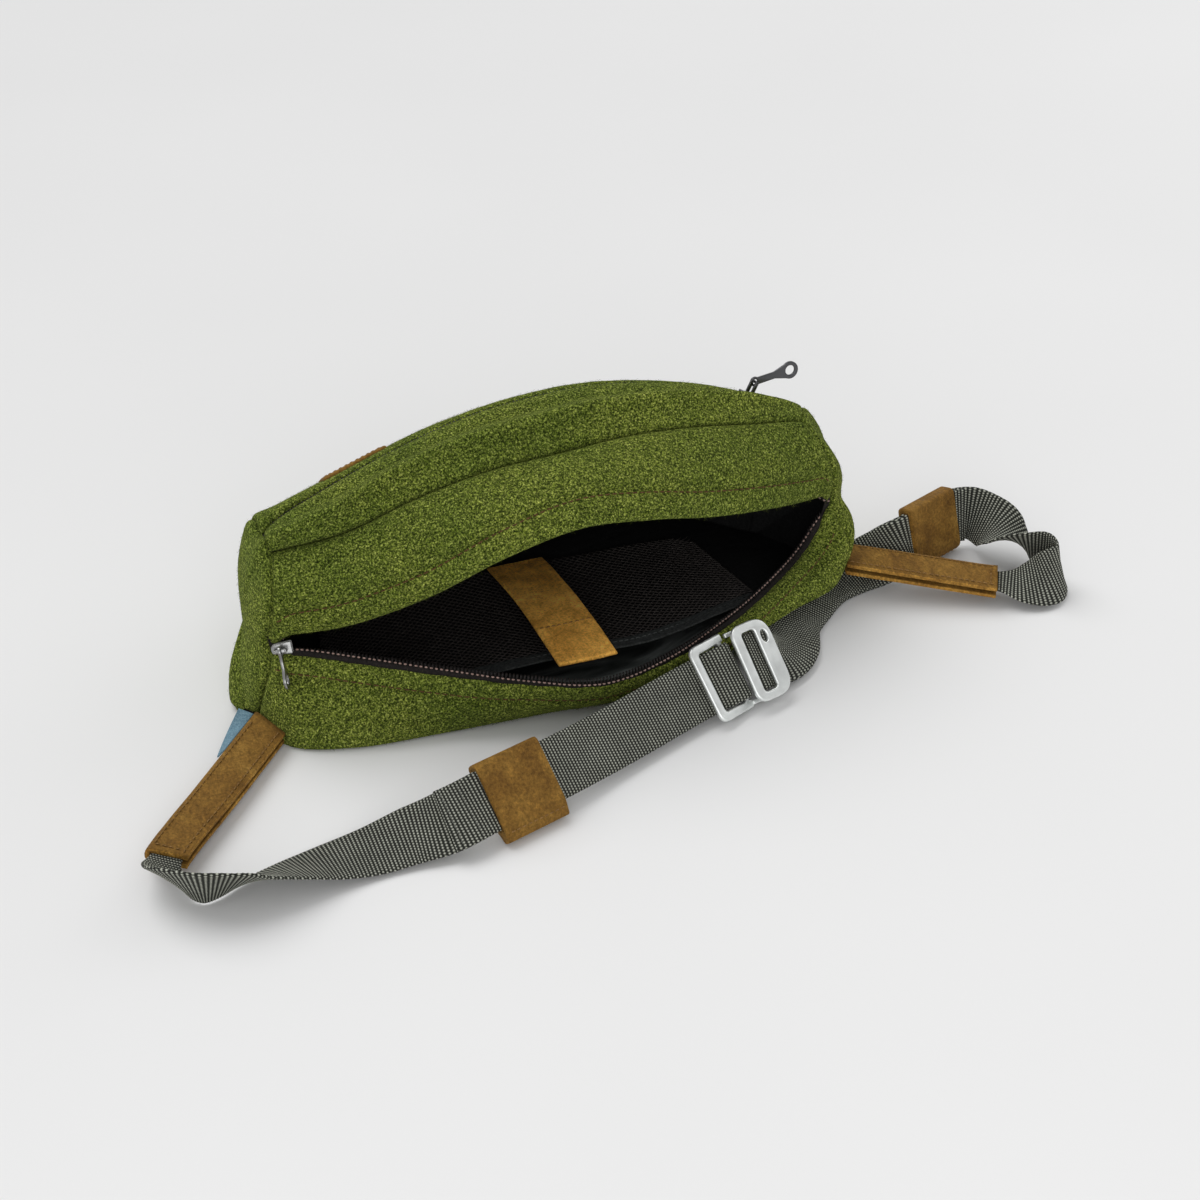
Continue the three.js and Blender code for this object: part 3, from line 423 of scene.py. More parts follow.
def shell(name, outer, inner, material, wrap=False, uv=None):
    """Closed shell between two equal grids. A wrapped grid is closed to a point at its last row."""
    rows, cols = outer.shape[:2]
    count = rows * cols
    verts = [*outer.reshape(-1, 3), *inner.reshape(-1, 3)]
    faces = grid_faces(rows, cols, 0, wrap)
    faces += [f[::-1] for f in grid_faces(rows, cols, count, wrap)]
    if wrap:
        last = (rows - 1) * cols
        verts += [outer[-1].mean(0), inner[-1].mean(0)]
        for i in range(cols):
            k = (i + 1) % cols
            faces.append((last + i, last + k, 2 * count))
            faces.append((count + last + k, count + last + i, 2 * count + 1))
            faces.append((k, i, count + i, count + k))
    else:
        rim = list(range(cols))
        rim += [j * cols + cols - 1 for j in range(1, rows)]
        rim += [(rows - 1) * cols + i for i in range(cols - 2, -1, -1)]
        rim += [j * cols for j in range(rows - 2, 0, -1)]
        for a, b in zip(rim, rim[1:] + rim[:1]):
            faces.append((b, a, count + a, count + b))
    both = None if uv is None else np.concatenate([uv.reshape(-1, 2)] * 2)
    return solid(name, verts, faces, material, both)


def slab(name, grid, normals, thick, radius, material, uv=None):
    """Sheet of leather or ribbon with rounded edges."""
    rows, cols = run_from(grid, 0), run_from(grid, 1)
    away = np.minimum(np.minimum(rows, rows[-1][None] - rows), np.minimum(cols, cols[:, -1][:, None] - cols))
    q = np.clip(1 - away / radius, 0, 1)
    half = normals * (thick / 2 * np.sqrt(np.maximum(1 - EDGE_THINNING * q * q, 0)))[..., None]
    return shell(name, grid + half, grid - half, material, uv=uv)


def place(obj, body, slot, *nodes):
    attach(obj, body)
    if nodes:
        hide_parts(*nodes)
    return obj


# Materials

class Shader:
    """A material on the principled surface, with the few nodes that it is built from."""

    def __init__(self, name):
        self.material = bpy.data.materials.new(name)
        self.material.use_nodes = True
        self.nodes, self.links = self.material.node_tree.nodes, self.material.node_tree.links
        self.bsdf = self.nodes["Principled BSDF"]
        self.coords = self.nodes.new("ShaderNodeTexCoord")

    def feed(self, socket, value):
        """Links a socket to another, or sets its constant."""
        if isinstance(value, bpy.types.NodeSocket):
            self.links.new(value, socket)
        else:
            socket.default_value = value

    def surface(self, **inputs):
        for key, value in inputs.items():
            self.feed(self.bsdf.inputs[key.replace("_", " ")], value)

    def noise(self, scale=1.0, detail=4.0, rough=0.6, distort=0.0, stretch=None, turn=(0, 0, 0)):
        made = self.nodes.new("ShaderNodeTexNoise")
        for key, value in (("Scale", scale), ("Detail", detail), ("Roughness", rough), ("Distortion", distort)):
            made.inputs[key].default_value = value
        coords = self.coords.outputs["Object"]
        if stretch is not None:
            mapping = self.nodes.new("ShaderNodeMapping")
            mapping.inputs["Scale"].default_value = stretch
            mapping.inputs["Rotation"].default_value = turn
            self.links.new(coords, mapping.inputs["Vector"])
            coords = mapping.outputs["Vector"]
        self.links.new(coords, made.inputs["Vector"])
        return made.outputs["Fac"]

    def axes(self, source):
        made = self.nodes.new("ShaderNodeSeparateXYZ")
        self.links.new(self.coords.outputs[source], made.inputs[0])
        return made.outputs

    def ramp(self, source, *stops):
        """Colours, or grey levels, at places of a value."""
        made = self.nodes.new("ShaderNodeValToRGB")
        while len(made.color_ramp.elements) < len(stops):
            made.color_ramp.elements.new(0.5)
        for element, (position, colour) in zip(made.color_ramp.elements, stops):
            element.position = position
            element.color = (*(colour if isinstance(colour, tuple) else (colour,) * 3), 1)
        self.links.new(source, made.inputs["Fac"])
        return made.outputs["Color"]

    def mix(self, a, b, factor, blend="MIX"):
        made = self.nodes.new("ShaderNodeMix")
        made.data_type = "RGBA"
        made.blend_type = blend
        for key, value in (("Factor", factor), ("A", a), ("B", b)):
            self.feed(made.inputs[key], value)
        return made.outputs["Result"]

    def toned(self, colour, tone, factor):
        return self.mix(colour, tone, factor, "MULTIPLY")

    def math(self, operation, a, b=0.0):
        made = self.nodes.new("ShaderNodeMath")
        made.operation = operation
        for socket, value in zip(made.inputs, (a, b)):
            self.feed(socket, value)
        return made.outputs[0]

    def plus(self, a, b, times=1.0):
        return self.math("ADD", a, b if times == 1.0 else self.math("MULTIPLY", b, times))

    def finish(self, height, distance, strength):
        """Gives the surface its relief, and returns the material."""
        made = self.nodes.new("ShaderNodeBump")
        made.inputs["Strength"].default_value = strength
        made.inputs["Distance"].default_value = distance
        self.links.new(height, made.inputs["Height"])
        self.links.new(made.outputs["Normal"], self.bsdf.inputs["Normal"])
        return self.material


def felt_material():
    shade = Shader("wool_felt")
    fibre_a = shade.noise(stretch=(1650, 800, 1150), turn=(0.3, 0.2, 0.9), detail=2, rough=0.7, distort=0.6)
    fibre_b = shade.noise(stretch=(780, 1600, 1030), turn=(0.5, 0.9, 0.2), detail=2, rough=0.7, distort=0.8)
    clump = shade.noise(scale=1250, detail=3, rough=0.75)
    patch = shade.noise(scale=24, rough=0.55)
    base = shade.ramp(
        fibre_a, (0.33, (0.012, 0.020, 0.003)), (0.45, (0.064, 0.092, 0.012)),
        (0.55, (0.130, 0.166, 0.026)), (0.68, (0.360, 0.390, 0.110)))
    flecks = shade.ramp(
        fibre_b, (0.34, (0.010, 0.018, 0.003)), (0.50, (0.094, 0.128, 0.017)), (0.67, (0.330, 0.375, 0.098)))
    tone = shade.ramp(
        clump, (0.39, (0.14, 0.16, 0.13)), (0.50, (0.92, 0.95, 0.90)), (0.61, (2.75, 2.60, 2.45)))
    wide = shade.ramp(patch, (0.3, (0.74, 0.80, 0.74)), (0.7, (1.14, 1.10, 1.08)))
    colour = shade.toned(shade.mix(base, flecks, 0.45), tone, 0.9)
    shade.surface(
        Base_Color=shade.toned(colour, wide, 1.0), Roughness=0.97, Specular_IOR_Level=0.05,
        Sheen_Weight=0.10, Sheen_Roughness=0.5, Sheen_Tint=(0.60, 0.68, 0.22, 1))
    relief = shade.plus(shade.plus(fibre_a, fibre_b), clump, times=1.2)
    return shade.finish(relief, distance=0.0006, strength=0.9)


def leather_material(name, light, fuzzy=False):
    shade = Shader(name)
    cloud = shade.noise(scale=60, detail=6, rough=0.65, distort=0.8)
    fine = shade.noise(scale=900, rough=0.7)
    scratch = shade.noise(stretch=(300, 70, 200), turn=(0.2, 0.3, 0.7), detail=5, rough=0.75, distort=1.5)
    browns = [(0.120, 0.057, 0.010), (0.180, 0.090, 0.017), (0.240, 0.128, 0.026), (0.335, 0.195, 0.048)]
    browns = [tuple(part * light for part in brown) for brown in browns]
    base = shade.ramp(cloud, *zip((0.27, 0.43, 0.58, 0.76), browns))
    marks = shade.ramp(scratch, (0.36, (0.72, 0.70, 0.64)), (0.55, 1.0), (0.72, (1.50, 1.46, 1.30)))
    grain = shade.ramp(fine, (0.33, (0.48, 0.47, 0.44)), (0.66, (1.50, 1.50, 1.48)))
    colour = shade.toned(shade.toned(base, marks, 0.7), grain, 0.95 if fuzzy else 0.7)
    shade.surface(
        Base_Color=colour, Roughness=shade.ramp(cloud, (0.3, 0.62), (0.7, 0.85)), Specular_IOR_Level=0.14,
        Sheen_Weight=0.06, Sheen_Tint=(1.0, 0.66, 0.28, 1))
    relief = shade.plus(fine, scratch, times=1.6)
    return shade.finish(relief, distance=0.0007 if fuzzy else 0.0004, strength=0.8)


WIDE_WEAVE = 18


def cloth_material(name, dark, mid, light, scale, rough, sheen=0.0):
    """Plain cloth or thread with a fine weave and slight variation."""
    shade = Shader(name)
    fine = shade.noise(scale=scale, detail=3)
    wide = shade.noise(scale=scale / WIDE_WEAVE, rough=0.55)
    base = shade.ramp(fine, (0.3, dark), (0.52, mid), (0.75, light))
    tone = shade.ramp(wide, (0.3, 0.75), (0.7, 1.15))
    shade.surface(
        Base_Color=shade.toned(base, tone, 0.9), Roughness=rough, Specular_IOR_Level=0.25, Sheen_Weight=sheen)
    return shade.finish(fine, distance=0.0003, strength=0.8)


RIB = 1.5
CORD_PITCH = 1.14


def webbing_material():
    """Ribbed weave: UV runs along and across the belt in millimetres. Its colour follows the rib height: painted
    shade in the valleys, painted highlight on the rib tops.
    """
    shade = Shader("belt_webbing")
    along, across = shade.axes("UV")[:2]

    def wave(source, pitch, turns=2.0):
        return shade.math("COSINE", shade.math("MULTIPLY", source, turns * math.pi / pitch))

    rib = wave(along, RIB)
    loops = shade.math("MULTIPLY", wave(across, CORD_PITCH), wave(along, RIB, turns=1.0))
    fine = shade.noise(scale=1800, detail=3, rough=0.65)
    wide = shade.noise(scale=110)
    height = shade.plus(shade.math("MULTIPLY", rib, 0.24), loops, times=0.22)
    height = shade.plus(shade.plus(height, fine, times=0.35), 0.33)
    # Painted shade and highlight: dark where the ribs sink, light where they rise
    base = shade.ramp(
        height, (0.18, (0.004, 0.005, 0.004)), (0.40, (0.030, 0.032, 0.026)),
        (0.60, (0.125, 0.130, 0.106)), (0.82, (0.480, 0.490, 0.420)))
    tone = shade.ramp(wide, (0.3, 0.80), (0.7, 1.12))
    shade.surface(Base_Color=shade.toned(base, tone, 0.9), Roughness=0.72, Specular_IOR_Level=0.2)
    return shade.finish(height, distance=0.0006, strength=0.9)


def lining_material():
    """Near-black cloth, with painted light on the folds of its near side, where light through the mouth falls."""
    shade = Shader("lining_cloth")
    fine = shade.noise(scale=1000, detail=3)
    fold = shade.noise(stretch=(28, 120, 90), turn=(0.2, 0.1, 0.35), detail=3, rough=0.5, distort=0.8)
    dark = shade.ramp(fine, (0.3, 0.003), (0.52, 0.007), (0.75, 0.014))
    painted_light = shade.ramp(
        fold, (0.35, (0.020, 0.024, 0.022)), (0.52, (0.110, 0.124, 0.118)), (0.68, (0.320, 0.345, 0.333)))
    # Painted light: the folds get paler towards the near side, standing in for light that comes in through the mouth
    nearness = shade.math("ADD", shade.math("MULTIPLY", shade.axes("Object")["Y"], -12.0), 0.5)
    near = shade.ramp(nearness, (0.55, 0.0), (0.80, 1.0))
    shade.surface(Base_Color=shade.mix(dark, painted_light, near), Roughness=0.7, Specular_IOR_Level=0.2)
    return shade.finish(fold, distance=0.0012, strength=0.8)


def metal_material(name, colour, rough):
    shade = Shader(name)
    fine = shade.noise(scale=1400, detail=3)
    wide = shade.noise(scale=120)
    tint = shade.ramp(wide, (0.3, tuple(c * 0.86 for c in colour)), (0.7, tuple(min(1, c * 1.06) for c in colour)))
    satin = shade.ramp(wide, (0.3, rough * 0.85), (0.7, rough * 1.15))
    shade.surface(Base_Color=tint, Metallic=1.0, Roughness=satin)
    return shade.finish(fine, distance=0.00006, strength=0.5)


FELT_MAT = felt_material()
LEATHER_MAT = leather_material("nubuck", light=1.02)
RAW_MAT = leather_material("nubuck_raw_edge", light=1.85, fuzzy=True)
# The strip's nubuck is made much lighter than the rest: painted light, for the light that falls on it in the mouth
LIT_STRIP_MAT = leather_material("nubuck_strip_painted_light", light=4.2)
WEB_MAT = webbing_material()
LINING_MAT = lining_material()
ALUMINIUM = metal_material("satin_aluminium", (0.88, 0.905, 0.89), rough=0.46)
GUNMETAL = metal_material("gunmetal_plate", (0.11, 0.11, 0.115), rough=0.34)
# A lighter copy of the same gunmetal for the main zip: painted reflection, where that metal catches more light
LIT_GUNMETAL = metal_material("gunmetal_painted_reflection", (0.34, 0.34, 0.335), rough=0.30)
# Cloth and thread: name, three shades, scale of the weave, roughness
FUZZ_MAT = cloth_material(
    "wool_fibre", (0.040, 0.058, 0.006), (0.110, 0.140, 0.018), (0.290, 0.310, 0.070), 300, 0.95)
BINDING_MAT = cloth_material(
    "binding_tape", (0.014, 0.015, 0.015), (0.034, 0.037, 0.036), (0.070, 0.075, 0.073), 1000, 0.75)
WEB_THREAD_MAT = cloth_material(
    "grey_thread", (0.040, 0.042, 0.036), (0.105, 0.110, 0.095), (0.240, 0.245, 0.215), 2500, 0.7, sheen=0.1)
TAPE_MAT = cloth_material(
    "zip_tape", (0.004, 0.003, 0.003), (0.012, 0.009, 0.008), (0.030, 0.022, 0.020), 1300, 0.8)
COIL_MAT = cloth_material(
    "zip_coil", (0.006, 0.005, 0.005), (0.014, 0.011, 0.010), (0.030, 0.024, 0.022), 800, 0.45)
NET_MAT = cloth_material(
    "net_yarn", (0.016, 0.013, 0.012), (0.044, 0.038, 0.035), (0.092, 0.080, 0.073), 1500, 0.6)
THREAD_MAT = cloth_material(
    "brown_thread", (0.045, 0.020, 0.006), (0.105, 0.052, 0.016), (0.220, 0.125, 0.045), 2500, 0.7)
TAN_THREAD_MAT = cloth_material(
    "tan_thread", (0.130, 0.062, 0.016), (0.260, 0.140, 0.040), (0.440, 0.270, 0.095), 2500, 0.7)
PALE_THREAD_MAT = cloth_material(
    "pale_thread", (0.170, 0.100, 0.085), (0.360, 0.240, 0.205), (0.600, 0.450, 0.400), 2500, 0.6)
LABEL_MAT = cloth_material(
    "tab_ribbon", (0.070, 0.145, 0.200), (0.140, 0.250, 0.320), (0.250, 0.380, 0.450), 1600, 0.75)

# Camera, floor and light

CAMERA = {"at": (-0.2551, -0.7296, 0.5736), "to": (0.02943, 0.03856, 0.0), "lens": 67.14, "sensor": 36}
LIT_POINT = (0.02, 0.02, 0.04)
WORLD_STRENGTH = 0.50
# Light: kind, place, angle or size, power
LIGHTS = {
    "key_light": ("SUN", (-0.32, 0.60, 1.0), math.radians(46), 1.50),
    "softbox_front": ("AREA", (-0.5, -1.6, 0.6), 1.2, 9.0),
    "softbox_right": ("AREA", (1.6, 0.3, 0.9), 1.1, 3.0),
}
FLOOR_HALF, FLOOR_LEVEL = 12000, -0.15


def aimed(name, data, at, to):
    """Object for a camera or light that looks from one point to another."""
    obj = bpy.data.objects.new(name, data)
    obj.location = at
    obj.rotation_euler = (Vector(to) - Vector(at)).to_track_quat("-Z", "Y").to_euler()
    bpy.context.scene.collection.objects.link(obj)
    return obj


def make_camera():
    data = bpy.data.cameras.new("camera")
    data.lens = CAMERA["lens"]
    data.sensor_width = CAMERA["sensor"]
    data.clip_start = 0.01
    bpy.context.scene.camera = aimed("camera", data, CAMERA["at"], CAMERA["to"])


def make_floor():
    shade = Shader("studio_floor")
    cloud = shade.noise(scale=3, detail=2, rough=0.5)
    shade.surface(
        Base_Color=shade.ramp(cloud, (0.3, 0.80), (0.7, 0.82)), Roughness=0.9, Specular_IOR_Level=0.1)
    corners = [(x * FLOOR_HALF, y * FLOOR_HALF, FLOOR_LEVEL) for x, y in ((-1, -1), (1, -1), (1, 1), (-1, 1))]
    new_object("studio_floor", corners, [(0, 1, 2, 3)], shade.material, smooth=False)


def make_light():
    scene = bpy.context.scene
    scene.world = bpy.data.worlds.new("studio")
    scene.world.use_nodes = True
    background = scene.world.node_tree.nodes["Background"]
    background.inputs["Color"].default_value = (1.0, 1.0, 1.0, 1)
    background.inputs["Strength"].default_value = WORLD_STRENGTH
    for name, (kind, at, size, power) in LIGHTS.items():
        lamp = bpy.data.lights.new(name, kind)
        lamp.energy = power
        if kind == "SUN":
            lamp.angle = size
        else:
            lamp.size = size
        aimed(name, lamp, at, LIT_POINT)
    scene.view_settings.view_transform = "Standard"
    scene.view_settings.look = "None"


make_camera()
make_floor()
make_light()

# Felt panels

# Waves of the felt: height, scale and seed, and the share of them on the flat back
FELT_WAVES = ((0.55, 38, 0), (0.18, 9, 3))
BACK_SHARE = 0.3
# Folds of the strip above the pocket zip: height, place across the strip and width, and how they fade to its ends
STRIP_FOLDS = ((4.6, 0.42, 0.14), (-1.4, 0.74, 0.12))
STRIP_FADE = 0.6
# Stitch lines beside the mouth: whether they follow the panel's last row, and how far from it
STITCH_LINES = {"felt_top_far": (False, 13), "felt_top_near": (True, 9.5)}
STITCH_DIP, STITCH_DIP_WIDTH = 1.1, 1.5
# Panels that close over a zip, and whether they do so with their last row
OVER_POCKET_ZIP = {"felt_front_upper": True, "felt_front_lower": False}
OVER_MOUTH = {"felt_top_near": True, "felt_top_far": False}
# How far from the edge the closing reaches, its share of the gap, and where along the zip it fades
CLOSE_RUN = 12
POCKET_SHARE, POCKET_FADE = 0.37, 0.012
MOUTH_SHARE, MOUTH_FADES = 0.42, (0.03, 0.11, 0.95, 0.985)
# Width of the rim without waves, roll of the inner face and of the rim itself
FLAT_RIM = 14
INNER_ROLL = 0.25
RIM_ROLL = 0.3
ON_RIM = 0.5
# What each felt panel is sewn to
FELT_PANELS = [name for name in PANELS if name != "pocket_zip"]
SEWN_TO = {
    "felt_top_near": ["felt_back", "main_zip_near"],
    "felt_top_far": ["main_zip_far", "felt_front_upper"],
    "felt_front_upper": ["felt_top_far", "pocket_zip"],
    "felt_front_lower": ["pocket_zip", "felt_base"],
    "felt_base": ["felt_front_lower", "felt_back"],
    "felt_back": ["felt_base", "felt_top_near"],
    "felt_side_left": FELT_PANELS,
    "felt_side_right": FELT_PANELS,
}


def panel_uv(grid):
    return np.stack([run_from(grid, 1), run_from(grid, 0)], 2) * MM


def closing(name):
    """Shift that brings the edge of a panel in over the zip beside it."""
    if name in OVER_POCKET_ZIP:
        from_last, share = OVER_POCKET_ZIP[name], POCKET_SHARE
        gap = BASE["pocket_zip"][-1] - BASE["pocket_zip"][0]
        weight = np.clip(np.minimum(COLS_U, 1 - COLS_U) / POCKET_FADE, 0, 1)
    elif name in OVER_MOUTH:
        from_last, share = OVER_MOUTH[name], MOUTH_SHARE
        gap = seam("zipFar", COLS_U) - seam("zipNear", COLS_U)
        a, b, c, d = MOUTH_FADES
        weight = np.maximum(1 - smooth((COLS_U - a) / (b - a)), smooth((COLS_U - c) / (d - c)))
    else:
        return np.zeros(3)
    away = away_from_edge(BASE[name], from_last)
    weight = np.clip(1 - away / CLOSE_RUN, 0, 1) ** 2 * weight[None]
    return (share if from_last else -share) * gap[None] * weight[..., None]


def felt_swell(name):
    """Heights of the waves, folds and stitch lines of a panel."""
    grid = BASE[name]
    swell = sum(height * soft_waves(grid, scale, seed + len(name)) for height, scale, seed in FELT_WAVES)
    if name == "felt_front_upper":
        share = np.linspace(0, 1, len(grid))[:, None]
        ends = np.sin(np.pi * COLS_U)[None] ** STRIP_FADE
        for height, middle, width in STRIP_FOLDS:
            swell = swell + height * ends * np.exp(-((share - middle) / width) ** 2)
    if name == "felt_back":
        swell = np.minimum(swell, 0) * BACK_SHARE
    if name in STITCH_LINES:
        from_last, distance = STITCH_LINES[name]
        away = away_from_edge(grid, from_last)
        swell = swell - STITCH_DIP * np.exp(-((away - distance) / STITCH_DIP_WIDTH) ** 2)
    return swell * (1 - np.clip(sum(w for w, _ in edge_parts(name, FLAT_RIM)), 0, 1))


def felt_surface(name):
    """Outer and inner face of a felt panel."""
    grid, normals = BASE[name], NORMALS[name]
    outer = grid + normals * felt_swell(name)[..., None] + edge_shift(name, SEAM_ROLL, 0) * SEAM_DEPTH
    inner = grid - normals * FELT + edge_shift(name, SEAM_ROLL) * INNER_ROLL
    rim = edge_shift(name, RIM_ROLL, 1)
    on_rim = np.linalg.norm(rim, axis=2, keepdims=True) > ON_RIM
    inner = np.where(on_rim, grid + rim * FELT, inner)
    shift = closing(name)
    outer, inner = outer + shift, inner + shift
    outer[..., 2] = np.maximum(outer[..., 2], FLOOR_OUT)
    inner[..., 2] = np.maximum(inner[..., 2], FLOOR_IN)
    return outer, inner


def sheet_area(grid, wrap):
    """Area of a grid of cells, closed round and to a point at its last row where it wraps."""
    if wrap:
        grid = np.concatenate([grid, grid[:, :1]], 1)
        grid = np.concatenate([grid, np.broadcast_to(grid[-1].mean(0), grid[-1:].shape)])
    a, b, c, d = grid[:-1, :-1], grid[:-1, 1:], grid[1:, 1:], grid[1:, :-1]
    halves = np.linalg.norm(np.cross(b - a, c - a), axis=2) + np.linalg.norm(np.cross(c - a, d - a), axis=2)
    return halves.sum() / 2


def cloth(obj, grid):
    """Works out the flat size and area of the grid that a sheet follows; nothing is done with them."""
    wrap = "side" in obj.name
    area = sheet_area(grid, wrap)
    if wrap:
        wide, long = np.ptp(grid[..., 1]), np.ptp(grid[..., 2])
        grow = max(1, math.sqrt(area / (wide * long)))
        wide, long = wide * grow, long * grow
    else:
        wide, long = run_from(grid, 0)[-1].max(), run_from(grid, 1)[:, -1].max()


SURFACE = {name: felt_surface(name) for name in SEWN_TO}
for name, sewn_to in SEWN_TO.items():
    uv = None if is_side(name) else panel_uv(BASE[name])
    piece = shell(name.replace("felt", "wool"), *SURFACE[name], FELT_MAT, wrap=is_side(name), uv=uv)
    cloth(place(piece, "bag", "felt", name), BASE[name])

# Lining: a thin bag inside the felt

LINING_ROLL = 8
# Depths of its two faces under the felt, its slack, and its least height over them
LINING_FACES = (FELT + 0.6, FELT + 1.1)
LINING_SLACK = 1.1
LINING_LIFT = 0.2
# Every second row and third column is enough, but for the end gussets and narrow panels
FEW_ROWS = 9
ROW_STEP, COLUMN_STEP = 2, 3


def under(name, depth):
    """Grid at a depth under a panel, with the rims of neighbours meeting."""
    rim = union_of(edge_parts(name, LINING_ROLL))
    shift = edge_shift(name, LINING_ROLL) - NORMALS[name] * (1 - rim)[..., None]
    return BASE[name] + shift * depth[..., None]


def lining_piece(name):
    side, count = is_side(name), len(BASE[name])
    whole = side or count < FEW_ROWS
    rows = np.arange(count) if whole else np.unique([*range(0, count, ROW_STEP), count - 1])
    columns = slice(None) if side else slice(None, None, COLUMN_STEP)
    slack = 0.5 + 0.5 * soft_waves(BASE[name], scale=24, seed=5)
    faces = []
    for depth in LINING_FACES:
        face = under(name, depth + LINING_SLACK * slack)[rows][:, columns]
        face[..., 2] = np.maximum(face[..., 2], depth + LINING_LIFT)
        faces.append(face)
    obj = shell(name.replace("felt", "lining").replace("zip", "backing"), *faces, LINING_MAT, wrap=side)
    place(obj, "bag", "lining", "lining")
    if name in SEWN_TO:
        cloth(obj, BASE[name][rows][:, columns])


for name in BASE:
    lining_piece(name)

# Belt

WING = {"wide": 17, "slot": 2.0}
WINGS = {
    "left": {"root": (-133.6, -8.8, 5.4), "tip": (-187.5, -74, 7.2), "rolls": (-10, -8), "fold": -1, "skew": 6.5},
    "right": {"root": (136.8, 10.2, 15.4), "tip": (196, -20.5, 8.6), "rolls": (4, 8), "fold": 1, "skew": 2},
}
BELT = 25
BELT_SEWN = 12.4
HAIRPIN = 2.8
HAIRPIN_STEPS = 26
LAY = 1.9
LAY_RUN = 16
TAILS = {"left": 148, "right": 170}
# Rows of a belt inside its wing, the row where it starts, and steps for each row
HEAD_ROWS = 3
SEWN_FROM = 1 / 3
BELT_STEPS = 60
# Belt rows: x, y, z, roll, width
BELTS = {
    "left": [
        (-190.5, -84, 9.5, -36, 18), (-187.5, -94, 12, -62, 23), (-180, -100.5, 12.3, -68, 25),
        (-170, -101.5, 11.4, -58, 25), (-158, -99, 8.8, -38, 25), (-146, -96.5, 6.4, -24, 25),
        (-131, -94, 3.8, -9, 25), (-113, -93, 3.6, 7, 25), (-97, -93.4, 7, 22, 25),
        (-82, -95.5, 11.5, 38, 25), (-66, -92.5, 14.2, 45, 25), (-52, -88.2, 14.4, 45, 25),
        (-38, -83.9, 14.2, 45, 25), (-9, -71.5, 12, 45, 25), (35, -54, 12, 46, 25), (55, -47, 12.4, 47, 25),
    ],
    "right": [
        (207, -26.5, 8.4, 26, 20), (217.5, -29.5, 11.2, 56, 24.5), (224.6, -25.5, 13, 74, 25),
        (223.5, -15.5, 13.6, 82, 25), (217, -6, 14, 52, 25), (213.5, 4, 14.4, 0, 25),
        (211, 14.5, 15, -52, 25), (206, 24, 15.4, -73, 25), (197.8, 25.9, 15.4, -75, 25),
        (190, 22.9, 15.4, -74, 25), (182, 19.7, 15.4, -74, 25), (174, 16.5, 15.4, -74, 25),
        (166, 13.2, 15.2, -71, 25), (155, 13.5, 9.4, -44, 25), (141.9, 13.9, 5, -20, 25),
        (125.3, 9, 3.6, -11, 25), (111.2, -1.9, 3.6, -11, 25), (99.6, -13.4, 3.8, -12, 25),
        (91.6, -29.2, 4.6, -16, 25), (83, -37.7, 8, -32, 25), (73.5, -41.3, 11.9, -45, 25),
        (64.3, -44.4, 12.4, -47, 25),
    ],
}
# Webbing: cords across it, height of its ribs, and where and how much it thins to its edges
CORDS = 11
RIB_HEIGHT = 0.15
SELVEDGE_FROM, SELVEDGE = 0.93, 0.07
SELVEDGE_THINNING = 0.65


def belt_rows(side):
    wing = WINGS[side]
    root, tip = np.array(wing["root"]), np.array(wing["tip"])
    r0, r1 = wing["rolls"]
    head = [(*root, r0, BELT_SEWN), (*(root + tip) / 2, (r0 + r1) / 2, BELT_SEWN), (*tip, r1, BELT_SEWN)]
    return np.array(head + BELTS[side], float)


def last_row(side):
    """Number of a belt's last row, counted from the first row of its head."""
    return len(BELTS[side]) + HEAD_ROWS - 1


def belt_frames(side, t):
    """Middle points, run, across and normal directions, and widths of a belt."""
    rows = belt_rows(side)
    at = catmull(rows[:, :3], t)
    along = tangent(rows[:, :3], t)
    turns = catmull(np.pad(rows[:, 3:], ((0, 0), (0, 1))), t, centripetal=False)
    left = unit(np.cross((0, 0, 1), along))
    above = np.cross(along, left)
    angle = np.radians(turns[:, 0])[:, None]
    across = left * np.cos(angle) + above * np.sin(angle)
    return at, along, across, np.cross(along, across), np.minimum(turns[:, 1], BELT)


def belt_at(side, row):
    """Middle point and directions at a row of the belt table."""
    return [x[0] for x in belt_frames(side, [(row + HEAD_ROWS) / last_row(side)])][:4]


def belt_path(side, step):
    """Whole run of a belt with its hairpin and folded tail, at an even step."""
    t = np.linspace(SEWN_FROM / last_row(side), 1, BELT_STEPS * (last_row(side) + 1))
    at, along, across, normal, wide = belt_frames(side, t)
    turn = np.linspace(0, np.pi, HAIRPIN_STEPS)[1:-1, None]
    bent = normal[-1] * np.cos(turn) - along[-1] * np.sin(turn)
    hairpin = (at[-1] + normal[-1] * HAIRPIN - bent * HAIRPIN, np.repeat(across[-1:], len(turn), 0),
               bent, np.repeat(wide[-1:], len(turn)))
    from_end = run_along(at[::-1])[::-1]
    near = smooth(from_end / LAY_RUN)
    lift = 2 * HAIRPIN * (1 - near) + LAY * near
    folded = from_end <= TAILS[side]
    tail = (v[folded][::-1] for v in (at + normal * lift[:, None], across, -normal, wide))
    points, sides, ups, widths = map(np.concatenate, zip((at, across, normal, wide), hairpin, tail))
    run = run_along(points)
    s = np.arange(0, run[-1], step)
    sides, ups = (unit(between(s, run, v)) for v in (sides, ups))
    return s, between(s, run, points), sides, ups, np.interp(s, run, widths)


